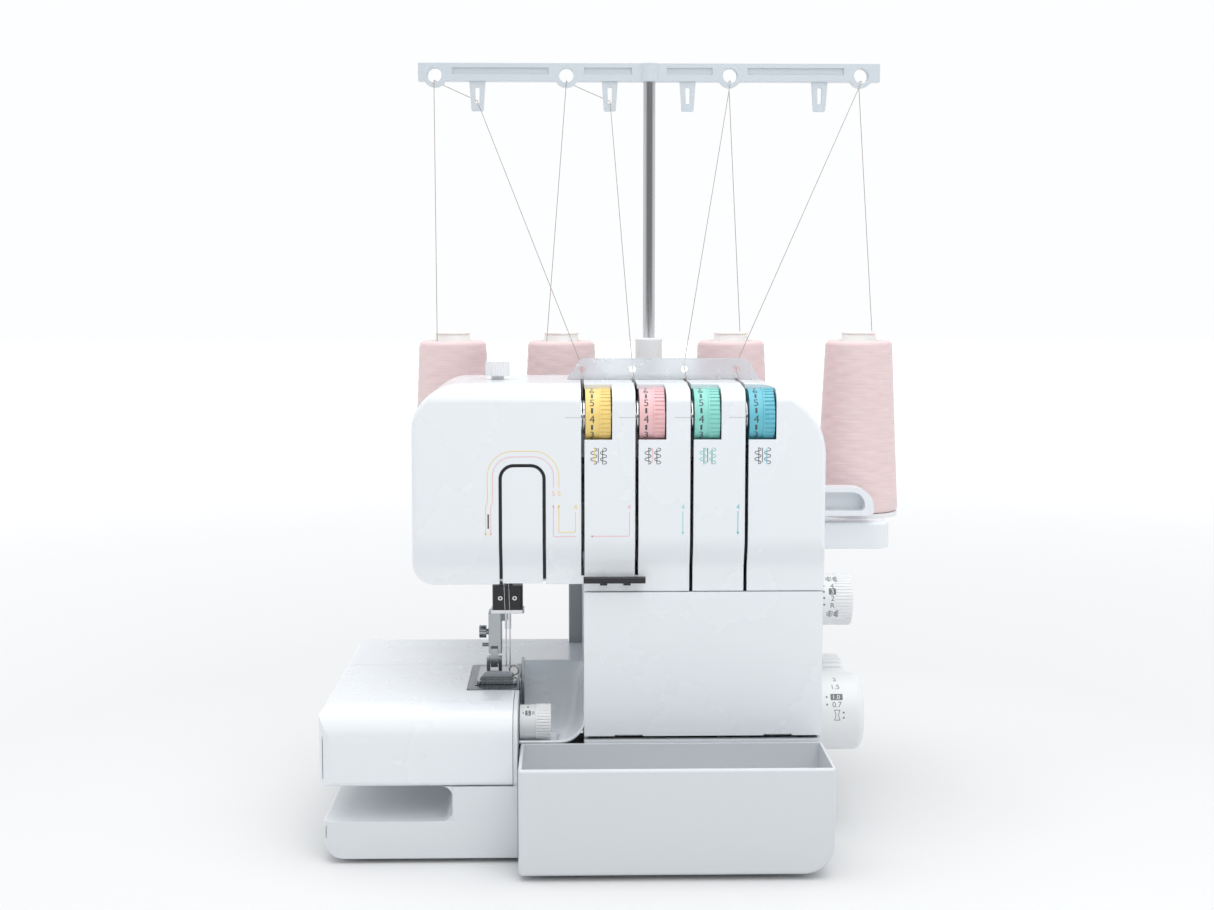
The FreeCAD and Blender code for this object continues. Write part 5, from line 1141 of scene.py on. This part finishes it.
# ---- trimming scoop --------------------------------------------------------------------------------------
def scoop_points():
    """The scoop's upper surface. From front (s = 0) to back (s = 1) the floor is rim - 26.2 - 7.4 s + 33.6 s^2, in
    millimetres. A quarter circle rises from it to the column, never past the bed. Beside the stitch width dial
    the floor drops to a half pipe round the dial's axis, and the left edge steps aside for the upper knife."""
    low, high = corners_of("trim_chute")
    dial_low, dial_high = corners_of("stitch_width_dial")
    knife_low, knife_high = corners_of("upper_knife")
    fillet, pipe_radius = 15 * MM, 13 * MM
    y = np.linspace(low[1], high[1], 210)[:, None]
    s = (y - low[1]) / (high[1] - low[1])
    floor = high[2] - 26.2 * MM - 7.4 * MM * s + 33.6 * MM * s ** 2
    beside_knife = (y > knife_low[1] - 2 * MM) & (y < knife_high[1] + 2 * MM)
    left = low[0] + 3.4 * MM * beside_knife
    corner = high[0] - fillet
    flat = left + (corner - left) * np.linspace(0, 1, 48)[None, :]
    angle = np.linspace(0, np.pi / 2, 16)[None, 1:]
    x = np.hstack([flat, corner + fillet * np.sin(angle) + 0 * y])
    share = np.minimum(1, np.maximum(0, high[2] - floor) / fillet)
    rise = np.hstack([0 * flat, fillet * (1 - np.cos(angle)) * share])
    across = y - (dial_low[1] + dial_high[1]) / 2
    pipe = (dial_low[2] + dial_high[2]) / 2 - np.sqrt(np.maximum(0, pipe_radius ** 2 - across ** 2))
    drop = np.where(np.abs(across) < pipe_radius, np.maximum(0, floor - pipe), 0)
    near = np.clip((dial_high[0] + 5.5 * MM - x) / (3 * MM), 0, 1)
    z = floor + rise - drop * near ** 2 * (3 - 2 * near)
    return np.stack([x, y + 0 * x, z], axis=-1)


class OVERLOCK_OT_scoop(Operator):
    """Shape the smooth scoop that leads the trimmings forward into the tray"""
    bl_idname = "overlock.scoop"
    bl_label = "Trimming scoop"

    def execute(self, context):
        mesh = surface_mesh("scoop", scoop_points(), wrap_columns=False)
        piece = add_piece("trimming_scoop", mesh, "white_shell", "root", "trim_chute")
        wall = piece.modifiers.new("wall", "SOLIDIFY")
        wall.thickness = 1.5 * MM
        wall.offset = -1.0
        return {"FINISHED"}


# ---- small hardware --------------------------------------------------------------------------------------
def head_face_y(z):
    """The head's front face: flat above its roll, set back below it, with a step 3 u^2 - 2 u^3 between."""
    roll_top, roll_height, lip = 188.0 * MM, 14.0 * MM, 5.5 * MM
    u = np.clip((roll_top - z) / roll_height, 0, 1)
    return FACE_Y + lip * u * u * (3 - 2 * u)


class OVERLOCK_OT_slot_liner(Operator):
    """Put a dark strip in the gap round the take-up panel: painted shade for the unlit inside of the head."""
    bl_idname = "overlock.slot_liner"
    bl_label = "Slot liner"

    def execute(self, context):
        left, right, top, foot, bend = -81.3 * MM, -55.3 * MM, 235.0 * MM, 166.0 * MM, 8.0 * MM
        width, half_depth, sunk = 1.94 * MM, 0.8 * MM, 2.2 * MM
        path = along(rounded_path([(left, foot), (left, top), (right, top), (right, foot)], bend), 1.0 * MM)

        def behind_face(p):
            return np.column_stack([p[:, 0], head_face_y(p[:, 1]) + sunk - p[:, 2], p[:, 1]])

        # A dark strip sunk behind the face: painted shade in the gap.
        gap_shade = [stroke(path, width, half_depth)]
        printed("slot_liner", gap_shade, behind_face, "slot_black", "root")
        return {"FINISHED"}


def screw_head(centre, radius, height):
    """A domed screw head that looks along +Y: radius r at height h (1 - (r/R)^4), closed behind."""
    share = np.array([0.02, 0.3, 0.55, 0.75, 0.9, 1.0, 1.0, 0.02])
    reach = height * (1 - share ** 4)
    reach[-2:] = -0.4 * MM
    angle = np.linspace(0, 2 * np.pi, 32, endpoint=False)
    ring = radius * share[:, None]
    points = np.stack([centre[0] + ring * np.cos(angle), centre[1] + reach[:, None] + 0 * angle,
                       centre[2] + ring * np.sin(angle)], axis=-1).reshape(-1, 3)
    faces = grid_faces(len(share), 32, True, True)
    if enclosed_volume(points - points.mean(axis=0), faces) < 0:
        faces = faces[:, ::-1]
    return points, faces.tolist()


class OVERLOCK_OT_back_screws(Operator):
    """Put the case screws in the back of the column"""
    bl_idname = "overlock.back_screws"
    bl_label = "Back screws"

    def execute(self, context):
        radius, dome, arm, slot_width, slot_depth = 3.4 * MM, 1.1 * MM, 1.9 * MM, 0.7 * MM, 0.25 * MM
        back = corners_of("rear_cover")[1][1]
        level = back + 0.95 * MM
        heads, slot_shades = [], []
        for x in (-20 * MM, 100 * MM):
            for z in (16 * MM, 148 * MM):
                heads.append(screw_head((x, back, z), radius, dome))
                for right, up in ((arm, 0.0), (0.0, arm)):
                    # Dark bars across each head: painted shade in its cross slot.
                    slot_shades.append(stroke([(x - right, z - up), (x + right, z + up)], slot_width, slot_depth))
        add_piece("back_screws", plain_mesh("screws", *merged(heads)), "steel", "root")


        def on_back(p):
            return np.column_stack([p[:, 0], level + p[:, 2], p[:, 1]])

        printed("back_screw_slots", slot_shades, on_back, "slot_black", "root")
        return {"FINISHED"}


class OVERLOCK_OT_clamp_trim(Operator):
    """Fit the needle clamp's bright rim and its two grub screws"""
    bl_idname = "overlock.clamp_trim"
    bl_label = "Needle clamp trim"

    def execute(self, context):
        low, high = corners_of("needle_clamp")
        rim_z, half_rim, screw_z, screw_x = low[2] + 1.0 * MM, 1.15 * MM, 146 * MM, 4.5 * MM
        middle = middle_of("needle_clamp")[0]
        outline = box_outline((middle, (low[1] + high[1] - 0.2 * MM) / 2),
                              (high[0] - low[0] + 0.3 * MM, high[1] - low[1] + 0.1 * MM), 2 * MM)
        points, faces = patch(outline, half_rim)
        rim = plain_mesh("rim", points + np.array([0, 0, rim_z]), faces)
        add_piece("clamp_rim", rim, "chrome", "needle_bar", smooth=False)
        face = on_face(low[1] + 1.0 * MM)
        # Dark dots inside the screws: painted shade in their sockets.
        for name, radius, depth, finish, slot in (("screws", 1.45, 0.15, "chrome", "steel"),
                                                  ("screw_sockets", 0.7, 0.2, "slot_black", "black_plastic")):
            dots = [dot((middle + side * screw_x, screw_z), radius * MM, depth * MM) for side in (-1, 1)]
            printed("clamp_" + name, dots, face, finish, "needle_bar")
        return {"FINISHED"}


class OVERLOCK_OT_pressure_spring(Operator):
    """Coil the presser foot's pressure spring"""
    bl_idname = "overlock.pressure_spring"
    bl_label = "Pressure spring"

    def execute(self, context):
        low, high = corners_of("presser_spring")
        wire, turns, lift = 0.65 * MM, 7.5, 6.0 * MM
        coil, height = (high[0] - low[0]) / 2 - wire, high[2] - low[2]
        t = np.linspace(0, 1, 300)
        x, y = middle_of("presser_spring")[:2]
        angle = 2 * np.pi * turns * t
        path = np.column_stack([x + coil * np.cos(angle), y + coil * np.sin(angle),
                                low[2] + wire + (height - 2 * wire) * t])
        mesh = tube_along("spring", path, wire, np.ones(8))
        piece = add_piece("pressure_spring", mesh, "steel", "root", "presser_spring")
        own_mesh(piece)
        return {"FINISHED"}


class OVERLOCK_PT_panel(Panel):
    bl_label = "Overlock machine"
    bl_idname = "OVERLOCK_PT_panel"
    bl_space_type = "VIEW_3D"
    bl_region_type = "UI"
    bl_category = "Overlock"

    def draw(self, context):
        for operator in OPERATORS:
            self.layout.operator(operator.bl_idname)
        for group in GROUPS:
            column = self.layout.column(align=True)
            for name in GROUPS[group].__annotations__:
                column.prop(settings(group), name)


GROUPS = {"stage": OVERLOCK_PG_stage, "finish": OVERLOCK_PG_finish, "thread": OVERLOCK_PG_thread,
          "print": OVERLOCK_PG_print}
OPERATORS = (
    OVERLOCK_OT_finishes, OVERLOCK_OT_stage, OVERLOCK_OT_windings, OVERLOCK_OT_tubes,
    OVERLOCK_OT_threads, OVERLOCK_OT_needle_threads, OVERLOCK_OT_tension_marks, OVERLOCK_OT_setting_marks,
    OVERLOCK_OT_guide_lines, OVERLOCK_OT_stitch_icons, OVERLOCK_OT_scoop, OVERLOCK_OT_slot_liner,
    OVERLOCK_OT_back_screws, OVERLOCK_OT_clamp_trim, OVERLOCK_OT_pressure_spring,
)


def register():
    for piece in (*GROUPS.values(), *OPERATORS, OVERLOCK_PT_panel):
        bpy.utils.register_class(piece)
    for name, group in GROUPS.items():
        setattr(bpy.types.Scene, "overlock_" + name, PointerProperty(type=group))


def unregister():
    for name in GROUPS:
        delattr(bpy.types.Scene, "overlock_" + name)
    for piece in (OVERLOCK_PT_panel, *reversed(OPERATORS), *reversed(list(GROUPS.values()))):
        bpy.utils.unregister_class(piece)


def main():
    register()
    for operator in OPERATORS:
        family, name = operator.bl_idname.split(".")
        getattr(getattr(bpy.ops, family), name)()


if __name__ == "__main__":
    main()
